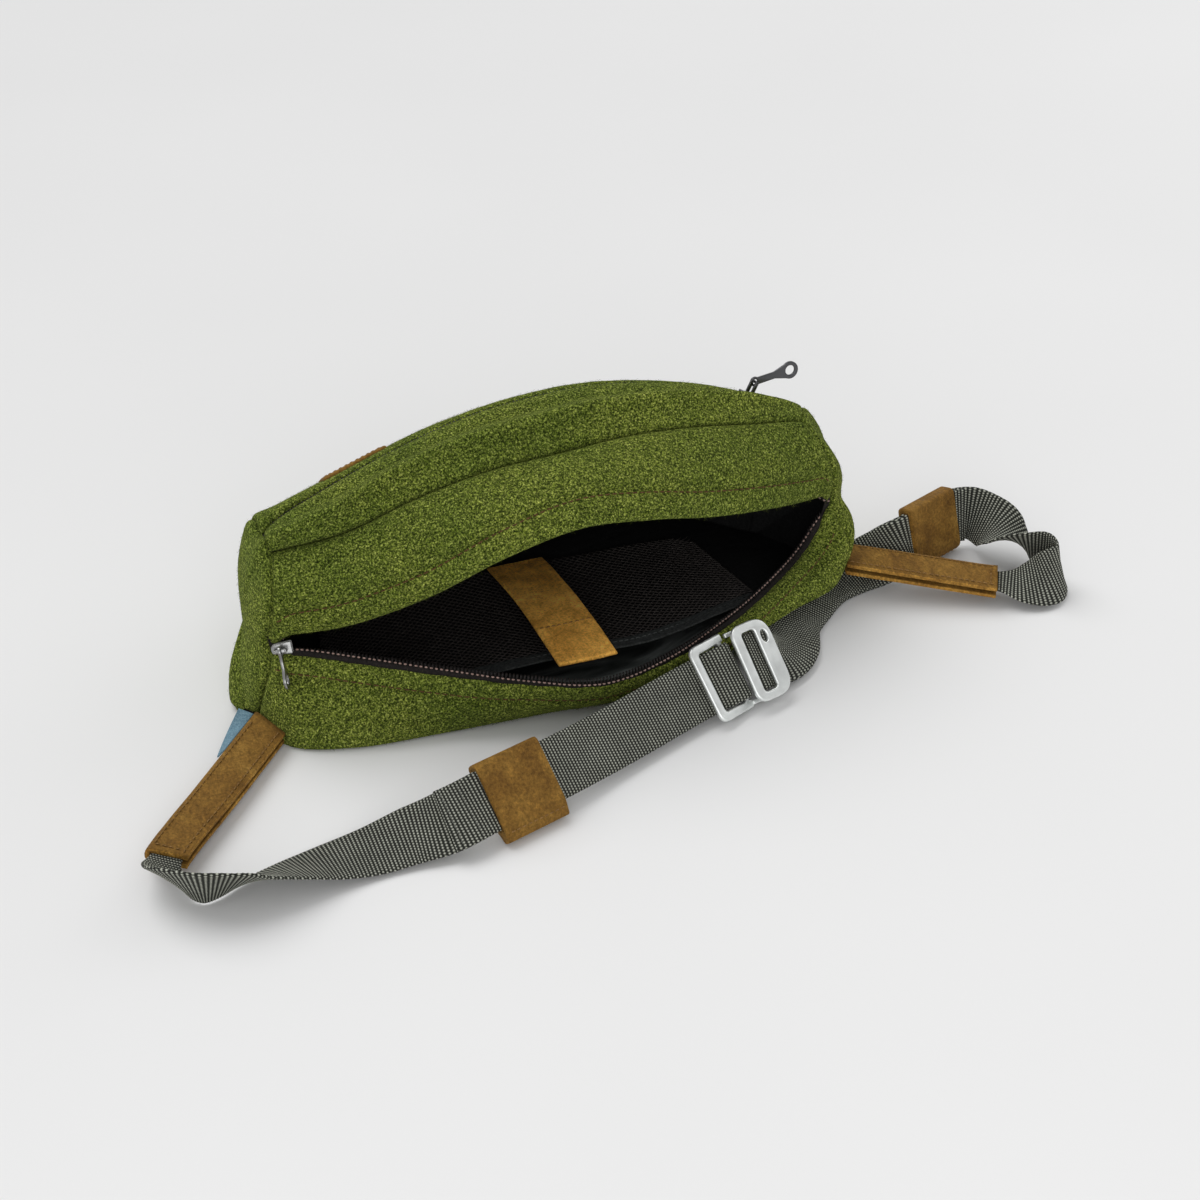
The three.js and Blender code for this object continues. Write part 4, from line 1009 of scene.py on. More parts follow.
def webbing(side):
    s, at, across, up, wide = belt_path(side, RIB / 4)
    shares = np.linspace(-1, 1, 2 * CORDS + 1)
    rib = np.cos(2 * np.pi * s / RIB)[:, None]
    edge = np.clip((np.abs(shares) - SELVEDGE_FROM) / SELVEDGE, 0, 1)[None]
    height = (WEBBING / 2 + RIB_HEIGHT * rib) * (1 - SELVEDGE_THINNING * edge ** 2)
    x = np.concatenate([shares, shares[::-1]])[None] * wide[:, None] / 2
    z = np.concatenate([height, -height[:, ::-1]], 1)
    loops = at[:, None] + across[:, None] * x[..., None] + up[:, None] * z[..., None]
    uv = np.stack(np.broadcast_arrays(s[:, None], x), 2)
    obj = solid(f"belt_webbing_{side}", loops.reshape(-1, 3), tube_faces(*x.shape), WEB_MAT, uv.reshape(-1, 2))
    place(obj, "bag", "webbing", f"strap_{side}")


for side in BELTS:
    webbing(side)

# Leather wings: a strip folded along one edge round the belt's end

WING_STEPS = 40
WING_RADII = (0.5, 2.6, 2.6, 0.5, 0.5, 0.6, 0.6, 0.5)
WING_WAVE = 0.16
# Sides of the wing's profile that show the raw edge
WING_RAW = {0, 1, 2, *range(16, 22), *range(36, 40)}


def rounded_profile(corners, radii, steps=4):
    """Closed outline with its corners rounded, each by its own radius or all by one."""
    corners = np.asarray(corners, float)
    share = np.linspace(0, 1, steps + 1)[:, None]
    bends = []
    for p, a, b, r in zip(corners, np.roll(corners, 1, 0), np.roll(corners, -1, 0),
                          np.broadcast_to(radii, len(corners))):
        r = min(r, 0.49 * np.linalg.norm(a - p), 0.49 * np.linalg.norm(b - p))
        start, end = p + unit(a - p) * r, p + unit(b - p) * r
        bends.append(start * (1 - share) ** 2 + p * 2 * share * (1 - share) + end * share * share)
    return np.concatenate(bends)


def wing(side):
    data = WINGS[side]
    t = np.linspace(0, 2 / last_row(side), WING_STEPS)
    at, along, across, normal, _ = belt_frames(side, t)
    half, inner = WING["wide"] / 2, WING["slot"] / 2
    outer, closed = inner + LEATHER, half - LEATHER
    profile = rounded_profile([
        (-half, -outer), (half, -outer), (half, outer), (-half, outer),
        (-half, inner), (closed, inner), (closed, -inner), (-half, -inner)], WING_RADII)
    profile[:, 0] *= data["fold"]
    early = np.clip(1 - t * last_row(side) / SEWN_FROM, 0, 1)
    longer = data["skew"] * early[:, None] * (0.5 + profile[None, :, 0] * data["fold"] / WING["wide"])
    loops = at[:, None] - along[:, None] * longer[..., None]
    loops = loops + across[:, None] * profile[None, :, :1] + normal[:, None] * profile[None, :, 1:]
    loops = loops + normal[:, None] * (WING_WAVE * soft_waves(loops, scale=11, seed=8))[..., None]
    rows, cols = loops.shape[:2]
    obj = solid(f"leather_wing_{side}", loops.reshape(-1, 3), tube_faces(rows, cols), LEATHER_MAT)
    obj.data.materials.append(RAW_MAT)
    for polygon in obj.data.polygons:
        is_end = polygon.index >= (rows - 1) * cols
        polygon.material_index = int(is_end or polygon.index % cols in WING_RAW)
    place(obj, "bag", "leather", f"wing_{side}")


for side in WINGS:
    wing(side)

# Leather keepers: sewn loops that hold the belt's tails

KEEPER = {"long": 29, "room": 0.55}
KEEPERS = {"left": {"row": 11, "sewn": -1, "flange": 5.5}, "right": {"row": 10, "sewn": 1, "flange": 1.9}}
KEEPER_RADII = (2.2, 1.5, 0.6, 0.6, 1.5, 2.2)
# Rounding of both ends: distance from the end and how far the surface draws in there, then the rows between
KEEPER_ENDS = np.array([(0, 0.45), (0.15, 0.2), (0.45, 0.06), (0.9, 0)])
KEEPER_ROWS, KEEPER_PLAIN = 16, 2.5
# Half width and levels of the room that the keepers give to the belt and its tail
ROOM_HALF = BELT / 2 + KEEPER["room"]
ROOM_LOW, ROOM_HIGH = -WEBBING / 2 - KEEPER["room"], LAY + WEBBING / 2 + KEEPER["room"]
ROOM_MID = (ROOM_LOW + ROOM_HIGH) / 2


def bridged(obj, point, direction):
    """Closes both ends of a sleeve, those before the point and those beyond it."""
    bm = bmesh.new()
    bm.from_mesh(obj.data)
    rims = ([], [])
    for edge in bm.edges:
        if edge.is_boundary:
            rims[(edge.verts[0].co - point).dot(direction) > 0].append(edge)
    for rim in rims:
        bmesh.ops.bridge_loops(bm, edges=rim)
    bmesh.ops.recalc_face_normals(bm, faces=bm.faces[:])
    bm.to_mesh(obj.data)
    bm.free()
    obj.data.polygons.foreach_set("use_smooth", [True] * len(obj.data.polygons))
    return obj


def keeper(side):
    data = KEEPERS[side]
    at, along, across, normal = belt_at(side, data["row"])
    out, tip = ROOM_HALF + LEATHER, ROOM_HALF + data["flange"]
    outer = rounded_profile([
        (-out, ROOM_LOW - LEATHER), (ROOM_HALF, ROOM_LOW - LEATHER), (tip, ROOM_MID - LEATHER),
        (tip, ROOM_MID + LEATHER), (ROOM_HALF, ROOM_HIGH + LEATHER), (-out, ROOM_HIGH + LEATHER)], KEEPER_RADII, 5)
    inner = rounded_profile([
        (-ROOM_HALF, ROOM_LOW), (ROOM_HALF, ROOM_LOW), (ROOM_HALF, ROOM_HIGH), (-ROOM_HALF, ROOM_HIGH)], 0.5, 5)
    half = KEEPER["long"] / 2
    ends, tucks = KEEPER_ENDS.T
    plain = np.linspace(-half + KEEPER_PLAIN, half - KEEPER_PLAIN, KEEPER_ROWS)
    z = np.concatenate([-half + ends, plain, half - ends[::-1]])[:, None, None]
    tuck = np.concatenate([tucks, np.zeros(KEEPER_ROWS), tucks[::-1]])[:, None, None]
    verts, faces = [], []
    for loop, way in ((outer, 1), (inner, -1)):
        loop[:, 0] *= data["sewn"]
        shaped = loop[None] + way * unit(np.array([0, ROOM_MID]) - loop)[None] * tuck
        faces += grid_faces(len(z), len(loop), len(verts), True)
        verts += [*(at + along * z + across * shaped[..., :1] + normal * shaped[..., 1:]).reshape(-1, 3)]
    obj = new_object(f"leather_keeper_{side}", verts, faces, LEATHER_MAT)
    place(bridged(obj, Vector(at * MM), Vector(along)), "bag", "leather", f"keeper_{side}")


for side in KEEPERS:
    keeper(side)

# Stitches

# Kinds of stitch: pitch, length, radius
STITCHES = {
    "zip": (2.1, 1.05, 0.36), "felt": (3.1, 2.4, 0.30), "trim": (2.6, 1.9, 0.26), "binding": (2.6, 1.9, 0.22),
    "wing": (2.7, 2.0, 0.3), "keeper": (2.6, 1.9, 0.28), "hem": (2.2, 1.6, 0.25),
}
# Side view of a stitch: place along its half length and height in radii, and the shares of its radius
STITCH_SHAPE = np.array([[-1, -0.6], [-0.8, 0.1], [-0.35, 0.75], [0.35, 0.75], [0.8, 0.1], [1, -0.6]])
STITCH_RADII = np.array([0.35, 0.8, 1, 1, 0.8, 0.35])
STITCH_STRAY = 0.06
STITCH_AIM = 0.2


def stitches(name, path, normals, material, kind):
    """Row of stitches along a path on a surface."""
    pitch, long, radius = STITCHES[kind]
    run = run_along(path)
    s = np.arange(pitch / 2, run[-1], pitch)
    s = s + np.random.default_rng(len(path)).uniform(-STITCH_STRAY, STITCH_STRAY, len(s)) * pitch
    up = unit(between(s, run, normals))
    along = unit(between(s + STITCH_AIM, run, path) - between(s - STITCH_AIM, run, path))
    paths = between(s, run, path)[:, None] + along[:, None] * (STITCH_SHAPE[None, :, :1] * long / 2)
    paths = paths + up[:, None] * (STITCH_SHAPE[None, :, 1:] * radius)
    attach(solid(name, *tube_mesh(paths, STITCH_RADII * radius), material), "bag")


# Main zip: tape out of the fold, coil teeth along its edge and the thread that holds them

TAPE_REACH = 5.2
TAPE_BEND = 1.6
LEAST_REACH = 0.15
TOOTH_PITCH = 1.5
# Half: its panel, that panel's row at the zip, a share inside the panel, its own seam and the other one
ZIP_HALVES = {
    "near": ("felt_top_near", -1, 2 / 3, "zipNear", "zipFar"),
    "far": ("felt_top_far", 0, 1 / 4, "zipFar", "zipNear"),
}
# The far half is tucked in under the felt: from and to, fade, turn, depth under the felt and step back
TUCK = {"from": 0.06, "to": 0.97, "fade": 0.05, "turn": math.radians(104), "depth": 1.2, "back": 3.0}
# Tape rows: reach and half thickness, and its waves
TAPE_ROWS = ((-0.9, 0.30), (0.0, 0.36), (0.5, 0.38), (1.0, 0.40), (1.4, 0.42), (1.8, 0.25))
TAPE_WAVE, TAPE_WAVES = 0.12, 140
TAPE_SPAN, THREAD_SPAN = (0.05, 0.985), (0.055, 0.98)
# Coil: where on the tape it starts, its radius, and its loop as reach, height and place along
COIL_FROM, COIL_RADIUS, COIL_END = 1.25, 0.40, 0.8
COIL_LOOP = (
    (0, 0.45, -0.30), (0.9, 0.86, -0.2), (1.7, 0.86, -0.05), (2.1, 0.45, 0),
    (2.1, -0.45, 0.05), (1.7, -0.86, 0.15), (0.9, -0.86, 0.3), (0, -0.45, 0.35))
COIL_MIDDLE = 1.2
THREAD_REACH, THREAD_HEIGHT = 0.75, 1.18
# Tapes that close the mouth beyond the teeth: where they lie, how far they reach under the felt, depth and sag
ZIP_ENDS = {"left": (0.004, 0.07), "right": (0.968, 0.996)}
ZIP_END_OVER, ZIP_END_DEPTH, ZIP_END_SAG, ZIP_END_THICK = 0.12, 1.9, 0.5, 0.7


def rim_along(panel, row, u):
    """Depth vectors at places u along an edge of a panel."""
    return between(u, COLS_U, rim_depth(BASE[panel][row]))


def zip_frames(half, u):
    """Start, straight and leaning directions, outward direction and reach of a zip half."""
    panel, row, inner_share, own, other = ZIP_HALVES[half]
    edge = seam(own, u)
    straight = unit(edge - panel_point(panel, u, inner_share))
    across = seam(other, u) - edge
    room = np.linalg.norm(across, axis=1) / 2 - TAPE_BEND - CLEAR * 2
    reach = np.clip(room / (TAPE_REACH - TAPE_BEND), LEAST_REACH, 1)
    depth = rim_along(panel, row, u)
    start, out = edge + depth * FELT / 2, -unit(depth)
    if half == "near":
        return start, straight, unit(straight + unit(across)), out, reach
    hide = smooth(np.minimum(u - TUCK["from"], TUCK["to"] - u) / TUCK["fade"])[:, None]
    angle = TUCK["turn"] * hide
    lean = unit(straight * np.cos(angle) - out * np.sin(angle))
    turned = unit(out * np.cos(angle) + straight * np.sin(angle))
    tucked = edge + depth * (FELT + TUCK["depth"]) - straight * TUCK["back"]
    return tucked * hide + start * (1 - hide), lean, lean, turned, reach


def zip_point(frames, e, n):
    """Points of a zip half at a reach e from its fold and a height n over it."""
    start, straight, lean, out, reach = frames
    far = max(e - TAPE_BEND, 0) * reach[:, None]
    return start + straight * min(e, TAPE_BEND) + lean * far + out * n


def zip_half(half):
    u = np.linspace(*TAPE_SPAN, 240)
    frames = zip_frames(half, u)
    wave = frames[3] * (TAPE_WAVE * np.sin(u * TAPE_WAVES)[:, None])
    top, low = (np.stack([zip_point(frames, e, way * h) + wave for e, h in TAPE_ROWS], 1) for way in (1, -1))
    place(shell(f"zip_tape_{half}", top, low, TAPE_MAT), "bag", "zip_tape", f"main_zip_{half}")
    run = run_along(zip_point(frames, COIL_FROM + COIL_MIDDLE, 0.0))
    teeth_u = np.interp(np.arange(COIL_END, run[-1] - COIL_END, TOOTH_PITCH), run, u)
    frames = zip_frames(half, teeth_u)
    along = tangent(seam_rows(ZIP_HALVES[half][3]), teeth_u)
    paths = np.stack([zip_point(frames, COIL_FROM + e, n) + along * x for e, n, x in COIL_LOOP], 1)
    place(solid(f"zip_coil_{half}", *tube_mesh(paths, COIL_RADIUS), COIL_MAT), "bag", "zip_tape")
    frames = zip_frames(half, np.linspace(*THREAD_SPAN, 400))
    line = zip_point(frames, COIL_FROM + THREAD_REACH, THREAD_HEIGHT)
    stitches(f"zip_thread_{half}", line, frames[3], PALE_THREAD_MAT, "zip")


def zip_end(side):
    u = np.linspace(*ZIP_ENDS[side], 18)
    share = np.linspace(-ZIP_END_OVER, 1 + ZIP_END_OVER, 9)[:, None, None]
    down = unit(rim_along("felt_top_near", -1, u) + rim_along("felt_top_far", 0, u))
    depth = ZIP_END_DEPTH - ZIP_END_SAG * np.sin(np.pi * np.clip(share, 0, 1))
    top = seam("zipNear", u) * (1 - share) + seam("zipFar", u) * share + down * depth
    place(shell(f"zip_end_{side}", top, top + down * ZIP_END_THICK, TAPE_MAT), "bag", "zip_tape")


for half in ZIP_HALVES:
    zip_half(half)
for side in ZIP_ENDS:
    zip_end(side)

# Pocket zip, closed and set in the valley between the two front panels

POCKET_TAPE = {"depth": 3.0, "swell": 0.25, "thick": 0.9}
# Its teeth: room at both ends, radius, and their side view as place across and height
POCKET_END, POCKET_COIL_RADIUS = 6, 0.42
POCKET_TOOTH = ((-1.7, -2.35), (-0.9, -2.0), (0.0, -1.9), (0.9, -2.0), (1.7, -2.35))


def pocket_zip():
    near, far = BASE["pocket_zip"][0], BASE["pocket_zip"][-1]
    up = NORMALS["pocket_zip"][ZIP_ROWS // 2]
    share = np.linspace(0.02, 0.98, 7)[:, None, None]
    top = near * (1 - share) + far * share - up * POCKET_TAPE["depth"]
    top = top + up * (POCKET_TAPE["swell"] * np.sin(np.pi * share))
    low = top - up * POCKET_TAPE["thick"]
    place(shell("pocket_tape", top, low, TAPE_MAT), "bag", "zip_tape", "pocket_zip")
    middle = (near + far) / 2
    run = run_along(middle)
    s = np.arange(POCKET_END, run[-1] - POCKET_END, TOOTH_PITCH)
    at, up = between(s, run, middle), unit(between(s, run, up))
    side = np.cross(up, unit(np.gradient(at, axis=0)))
    flip = np.where(np.arange(len(s)) % 2 == 0, 1, -1)[:, None]
    paths = np.stack([at + side * x * flip + up * z for x, z in POCKET_TOOTH], 1)
    place(solid("pocket_coil", *tube_mesh(paths, POCKET_COIL_RADIUS), COIL_MAT), "bag", "zip_tape")


pocket_zip()

# Stitch lines on the felt

STITCHED = (0.03, 0.97)


def line_on_panel(name):
    """Path and normals of a panel's stitch line."""
    from_last, distance = STITCH_LINES[name]
    outer = SURFACE[name][0]
    away = away_from_edge(outer, from_last)
    path, ups = [], []
    for i in np.flatnonzero((COLS_U >= STITCHED[0]) & (COLS_U <= STITCHED[1])):
        order = np.argsort(away[:, i])
        for line, values in ((path, outer), (ups, NORMALS[name])):
            line.append(between([distance], away[order, i], values[order, i])[0])
    return np.array(path), unit(np.array(ups))


for name in STITCH_LINES:
    stitches(name.replace("felt", "stitch_line"), *line_on_panel(name), THREAD_MAT, "felt")

# Fuzz of loose wool fibres on the felt, each a bent spike with three sides

FUZZ = {
    "wool_fuzz_top": (["felt_top_far", "felt_top_near"], 10000, 21),
    "wool_fuzz_front": (["felt_front_upper", "felt_front_lower"], 8200, 22),
    "wool_fuzz_ends": (["felt_side_left", "felt_side_right", "felt_base"], 4200, 23),
}
# Ranges of the fibres' length, lift, bend and radius, and their lowest root
FIBRE_LONG, FIBRE_LIFT, FIBRE_BEND, FIBRE_RADIUS = (0.7, 2.2), (0.15, 0.75), (-0.5, 0.5), (0.030, 0.052)
FIBRE_FLOOR = 0.8
# Shares of length, lift and bend at a fibre's middle, of lift at its tip, its depth in the felt and its taper
FIBRE_MIDDLE, FIBRE_TIP, FIBRE_DEPTH, FIBRE_TAPER = (0.5, 0.55, 0.2), 0.6, 0.1, 0.8
FIBRE_SIDES = np.array([0, 2.0944, 4.18879])[:, None]
FIBRE_FACES = ((0, 1, 4, 3), (1, 2, 5, 4), (2, 0, 3, 5), (3, 4, 6), (4, 5, 6), (5, 3, 6), (2, 1, 0))


def fuzz_roots(panels, count, rng):
    """Random points on panels, even by area, and the normals there."""
    cells = {}
    for panel in panels:
        p = SURFACE[panel][0]
        cells[panel] = np.linalg.norm(np.cross(p[1:, :-1] - p[:-1, :-1], p[:-1, 1:] - p[:-1, :-1]), axis=2)
    whole = np.sum([area.sum() for area in cells.values()])
    roots, ups = [], []
    for panel, area in cells.items():
        grid = SURFACE[panel][0]
        number = int(count * (area.sum() / whole))
        j, i = np.unravel_index(rng.choice(area.size, number, p=area.ravel() / area.sum()), area.shape)
        p, q = rng.random((2, number, 1))
        roots.append(grid[j, i] * (1 - p) * (1 - q) + grid[j, i + 1] * p * (1 - q)
                     + grid[j + 1, i] * (1 - p) * q + grid[j + 1, i + 1] * p * q)
        ups.append(NORMALS[panel][j, i])
    roots, ups = np.concatenate(roots), np.concatenate(ups)
    above = roots[:, 2] > FIBRE_FLOOR
    return roots[above], ups[above]


def fuzz(name, panels, count, seed):
    rng = np.random.default_rng(seed)
    roots, ups = fuzz_roots(panels, count, rng)
    number = len(roots)
    flat = rng.normal(size=(number, 3))
    flat = unit(flat - ups * np.sum(flat * ups, axis=1, keepdims=True))
    curl = unit(np.cross(ups, flat))
    long, lift, bend = (rng.uniform(*span, (number, 1)) for span in (FIBRE_LONG, FIBRE_LIFT, FIBRE_BEND))
    a, b, c = FIBRE_MIDDLE
    root = roots - ups * FIBRE_DEPTH
    middle = roots + flat * long * a + ups * long * lift * b + curl * long * bend * c
    tip = roots + flat * long + ups * long * lift * FIBRE_TIP + curl * long * bend
    ring = ups[:, None] * np.cos(FIBRE_SIDES) + curl[:, None] * np.sin(FIBRE_SIDES)
    ring = ring * rng.uniform(*FIBRE_RADIUS, (number, 1, 1))
    verts = np.concatenate([root[:, None] + ring, middle[:, None] + ring * FIBRE_TAPER, tip[:, None]], 1)
    verts[..., 2] = np.maximum(verts[..., 2], FLOOR_OUT)
    first = np.arange(number)[:, None] * verts.shape[1]
    faces = [face for corners in FIBRE_FACES for face in (first + np.array(corners)).tolist()]
    place(new_object(name, verts.reshape(-1, 3), faces, FUZZ_MAT), "bag", "felt")


for name, (panels, count, seed) in FUZZ.items():
    fuzz(name, panels, count, seed)

# Leather strip, patch and woven tab

EDGE_ROWS = (0.1, 0.3, 0.7, 1.2)
TAB_EDGE_ROWS = (0.08, 0.2, 0.45)
LEATHER_ROUND = 0.8
# Near and far ends of the strip as y and z, its hump, waves up and sideways, and where its stitches cross it
STRIP = {"wide": 26, "near": (-27, 19), "far": (70, 5.6), "hump": 3, "waves": (0.5, 0.35), "stitched": 0.30}
# Patch: places along and across the panel, how far it sinks, and how it follows the rolled seam beside it
PATCH = {"along": (0.203, 0.094), "across": (0.030, 0.212), "sink": 0.85, "seam": 1.5, "roll": 0.6}
PATCH_STITCHED, PATCH_STITCH_SINK = 5, 0.16
# Tab: sizes, its turn and how that grows along it, its lift, and its curl along and across as height and rate
TAB = {"wide": 7, "long": 25, "thick": 0.8, "round": 0.4, "turn": math.radians(62), "growth": 0.8, "lift": 0.4}
TAB_CURL = ((0.25, 5), (0.10, 3))


def facing_up(normals):
    return normals * np.sign(normals[..., 2:])


def key_strip():
    wide, (near_y, near_z), (far_y, far_z) = STRIP["wide"], STRIP["near"], STRIP["far"]
    t = spread(60, far_y - near_y, EDGE_ROWS)
    x = wide * (spread(18, wide, EDGE_ROWS) - 0.5)
    y = near_y + (far_y - near_y) * t
    z = near_z + (far_z - near_z) * t + STRIP["hump"] * np.sin(np.pi * t) + LEATHER / 2
    grid = np.stack(np.broadcast_arrays(x[None], y[:, None], z[:, None]), 2)
    up, sideways = STRIP["waves"]
    grid[..., 2] += up * soft_waves(grid, scale=30, seed=4) * (1 - t[:, None])
    grid[..., 0] += sideways * soft_waves(grid, scale=26, seed=6)
    normals = facing_up(grid_normals(grid))
    obj = slab("leather_strip", grid, normals, LEATHER, LEATHER_ROUND, LIT_STRIP_MAT)
    place(obj, "bag", "leather", "key_strip")
    line = np.argmin(np.abs(t - STRIP["stitched"])), slice(4, -4)
    stitches("strip_stitches", grid[line] + normals[line] * LEATHER / 2, normals[line], TAN_THREAD_MAT, "trim")


def patch():
    (u, u_span), (s, s_span) = PATCH["along"], PATCH["across"]
    u = spread(24, 25, EDGE_ROWS) * u_span + u
    s = spread(16, 22, EDGE_ROWS) * s_span + s
    grid = np.stack([panel_point("felt_front_lower", u, share) for share in s])
    normals = grid_normals(grid)
    normals = normals * np.sign(normals[8, 8, 1])
    rim = SEAM_DEPTH * roll_weight(run_from(grid, 0) + PATCH["seam"], SEAM_ROLL)
    grid = grid + normals * (LEATHER / 2 - PATCH["sink"] - PATCH["roll"] * rim)[..., None]
    obj = slab("leather_badge", grid, normals, LEATHER, LEATHER_ROUND, LEATHER_MAT)
    place(obj, "bag", "leather", "leather_patch")
    first, last, inside = PATCH_STITCHED, -PATCH_STITCHED - 1, slice(PATCH_STITCHED, -PATCH_STITCHED)
    for tag, line in zip("abcd", ((first, inside), (last, inside), (inside, first), (inside, last))):
        path = grid[line] + normals[line] * (LEATHER / 2 - PATCH_STITCH_SINK)
        stitches(f"badge_stitches_{tag}", path, normals[line], TAN_THREAD_MAT, "trim")


def label_tab():
    at, along, across, normal = belt_at("left", -HEAD_ROWS)
    wide, long = TAB["wide"], TAB["long"]
    x = (spread(10, wide, TAB_EDGE_ROWS) * wide - wide / 2)[None, :, None]
    z = (spread(26, long, TAB_EDGE_ROWS) * long - long / 2)[:, None, None]
    centre = at - across * ((WING["wide"] + wide) / 2 + CLEAR) + along * (long / 2 - WINGS["left"]["skew"])
    (a, rate_a), (b, rate_b) = TAB_CURL
    curl = a * np.sin(z / long * rate_a) + b * np.cos(x / wide * rate_b)
    turn = TAB["turn"] * np.clip(z / long + 0.5, 0, 1) ** TAB["growth"]
    spine = centre + across * (wide / 2) + normal * TAB["lift"]
    flat = across * np.cos(turn) + normal * np.sin(turn)
    grid = spine + along * z + flat * (x - wide / 2) + normal * curl
    normals = np.broadcast_to(np.cross(along, flat), grid.shape)
    place(slab("bare_tab", grid, normals, TAB["thick"], TAB["round"], LABEL_MAT), "bag", "label", "label_tab")


key_strip()
patch()
label_tab()

# Net pocket on the back panel

NET = {"from": 0.17, "to": 0.77, "mouth": 0.17, "end": 0.69, "rise": 8, "lift": 4.25, "clear": 0.5}
NET_COLUMNS, NET_ROWS, NET_STEPS = 56, 24, 49
NET_RADIUS, NET_WAVE, NET_WEAVE = 0.29, 0.20, 0.14
# Yarns outside these shares, or with fewer steps inside the net, are left out
NET_NEAR_END, NET_END, NET_LEAST = 0.02, 0.005, 6
BINDING = {"mouth": 0.11, "gap": 0.003, "thick": 1.0, "round": 0.8, "wave": 0.25}


def net_place(s, depth):
    """Points of the net at shares s along its mouth and depths from it."""
    s, depth = np.broadcast_arrays(np.asarray(s, float), np.asarray(depth, float))
    along = NET["from"] + (NET["to"] - NET["from"]) * s
    a, b = seam("back", along.ravel()), seam("baseBottom", along.ravel())
    point = a + (b - a) * depth.ravel()[:, None]
    slack = np.clip((NET["end"] - depth.ravel()) / (NET["end"] - NET["mouth"]), 0, None) ** 2
    bulge = NET["rise"] * slack * np.sqrt(np.maximum(np.sin(np.pi * s.ravel()), 0))
    point[:, 2] += NET["lift"] + bulge + NET["clear"]
    return point.reshape(*s.shape, 3)


def net():
    steps = np.linspace(0, 1, NET_STEPS)
    depth = NET["mouth"] + (NET["end"] - NET["mouth"]) * steps
    turns = steps * NET_ROWS * 2 * np.pi
    verts, faces = [], []
    for start in range(-NET_ROWS, NET_COLUMNS):
        for lean in (1, -1):
            s = (start + steps * NET_ROWS if lean > 0 else start + NET_ROWS - steps * NET_ROWS) / NET_COLUMNS
            used = np.flatnonzero((s > -NET_END) & (s < 1 + NET_END))
            if s.max() < NET_NEAR_END or s.min() > 1 - NET_NEAR_END or len(used) < NET_LEAST:
                continue
            path = net_place(np.clip(s + NET_WAVE * np.sin(turns) / NET_COLUMNS * lean, 0, 1), depth)
            path[:, 2] += NET_WEAVE * lean * np.cos(turns)
            tube, tube_sides = tube_mesh(path[None, used[0]:used[-1] + 1], NET_RADIUS, sides=4)
            faces += [tuple(k + len(verts) for k in face) for face in tube_sides]
            verts += list(tube)
    return place(solid("pocket_net", verts, faces, NET_MAT), "bag", "net", "mesh_pocket")


def binding():
    depth = spread(6, 6, (0.15, 0.4, 0.8)) * (NET["mouth"] - BINDING["gap"] - BINDING["mouth"]) + BINDING["mouth"]
    grid = net_place(np.linspace(0, 1, 80)[None], depth[:, None])
    normals = facing_up(grid_normals(grid))
    grid = grid + normals * (BINDING["wave"] * soft_waves(grid, scale=16, seed=9))[..., None]
    edge = slab("pocket_edge", grid, normals, BINDING["thick"], BINDING["round"], BINDING_MAT)
    row = len(depth) // 2
    path = grid[row] + normals[row] * (BINDING["thick"] / 2)
    stitches("pocket_edge_stitches", path, normals[row], LINING_MAT, "binding")
    return place(edge, "bag", "lining", "pocket_binding")


def net_sheet(sheet, edge):
    depth = np.linspace(NET["mouth"], NET["end"], 30)
    cloth(sheet, net_place(np.linspace(0, 1, 60)[None], depth[:, None]))


net_sheet(net(), binding())

# Stitches of the wings and keepers, and the belt's hems

STITCH_LIFT = 0.1
WING_STITCHED = {"from": 0.02, "to": 1.93, "inset": 2.4, "tip": 1.2, "tip_room": 5}
KEEPER_STITCHED = {"share": 0.35, "room": 1.8}
# Turned end of a belt's tail: its rows and their step, its height over the belt, and its two stitched rows
HEM = {"rows": 26, "step": 0.5, "columns": 41, "lift": 1.15, "thick": 0.8, "round": 0.6, "wave": 0.10, "pitch": 1.4}
HEM_STITCHED, HEM_STITCH_LIFT = {"a": 5, "b": 20}, 0.5


def wing_stitches(side):
    d = WING_STITCHED
    t = np.linspace(d["from"] / last_row(side), d["to"] / last_row(side), 60)
    at, along, across, normal, _ = belt_frames(side, t)
    level = WING["slot"] / 2 + LEATHER + STITCH_LIFT
    for tag, edge in (("near", -1), ("far", 1)):
        offset = edge * WINGS[side]["fold"] * (WING["wide"] / 2 - d["inset"])
        for face, way in (("top", 1), ("low", -1)):
            path = at + across * offset + normal * way * level
            stitches(f"wing_stitches_{side}_{tag}_{face}", path, normal * way, TAN_THREAD_MAT, "wing")
    end = np.linspace(-0.5, 0.5, 20)[:, None] * (WING["wide"] - d["tip_room"])
    tip = at[-1] - along[-1] * d["tip"] + across[-1] * end + normal[-1] * level
    stitches(f"wing_stitches_{side}_tip", tip, np.repeat(normal[-1:], 20, 0), TAN_THREAD_MAT, "wing")


def keeper_stitches(side):
    data, share = KEEPERS[side], KEEPER_STITCHED["share"]
    at, along, across, normal = belt_at(side, data["row"])
    z = np.linspace(-1, 1, 30)[:, None] * (KEEPER["long"] / 2 - KEEPER_STITCHED["room"])
    out = ROOM_HALF + data["flange"] * share
    top = ROOM_HIGH + LEATHER + (ROOM_MID - ROOM_HIGH) * share
    for tag, level, up in (("top", top, normal), ("low", ROOM_LOW + ROOM_HIGH - top, -normal)):
        path = at + along * z + across * out * data["sewn"] + normal * level
        stitches(f"keeper_stitches_{side}_{tag}", path, np.repeat(up[None], 30, 0), TAN_THREAD_MAT, "keeper")


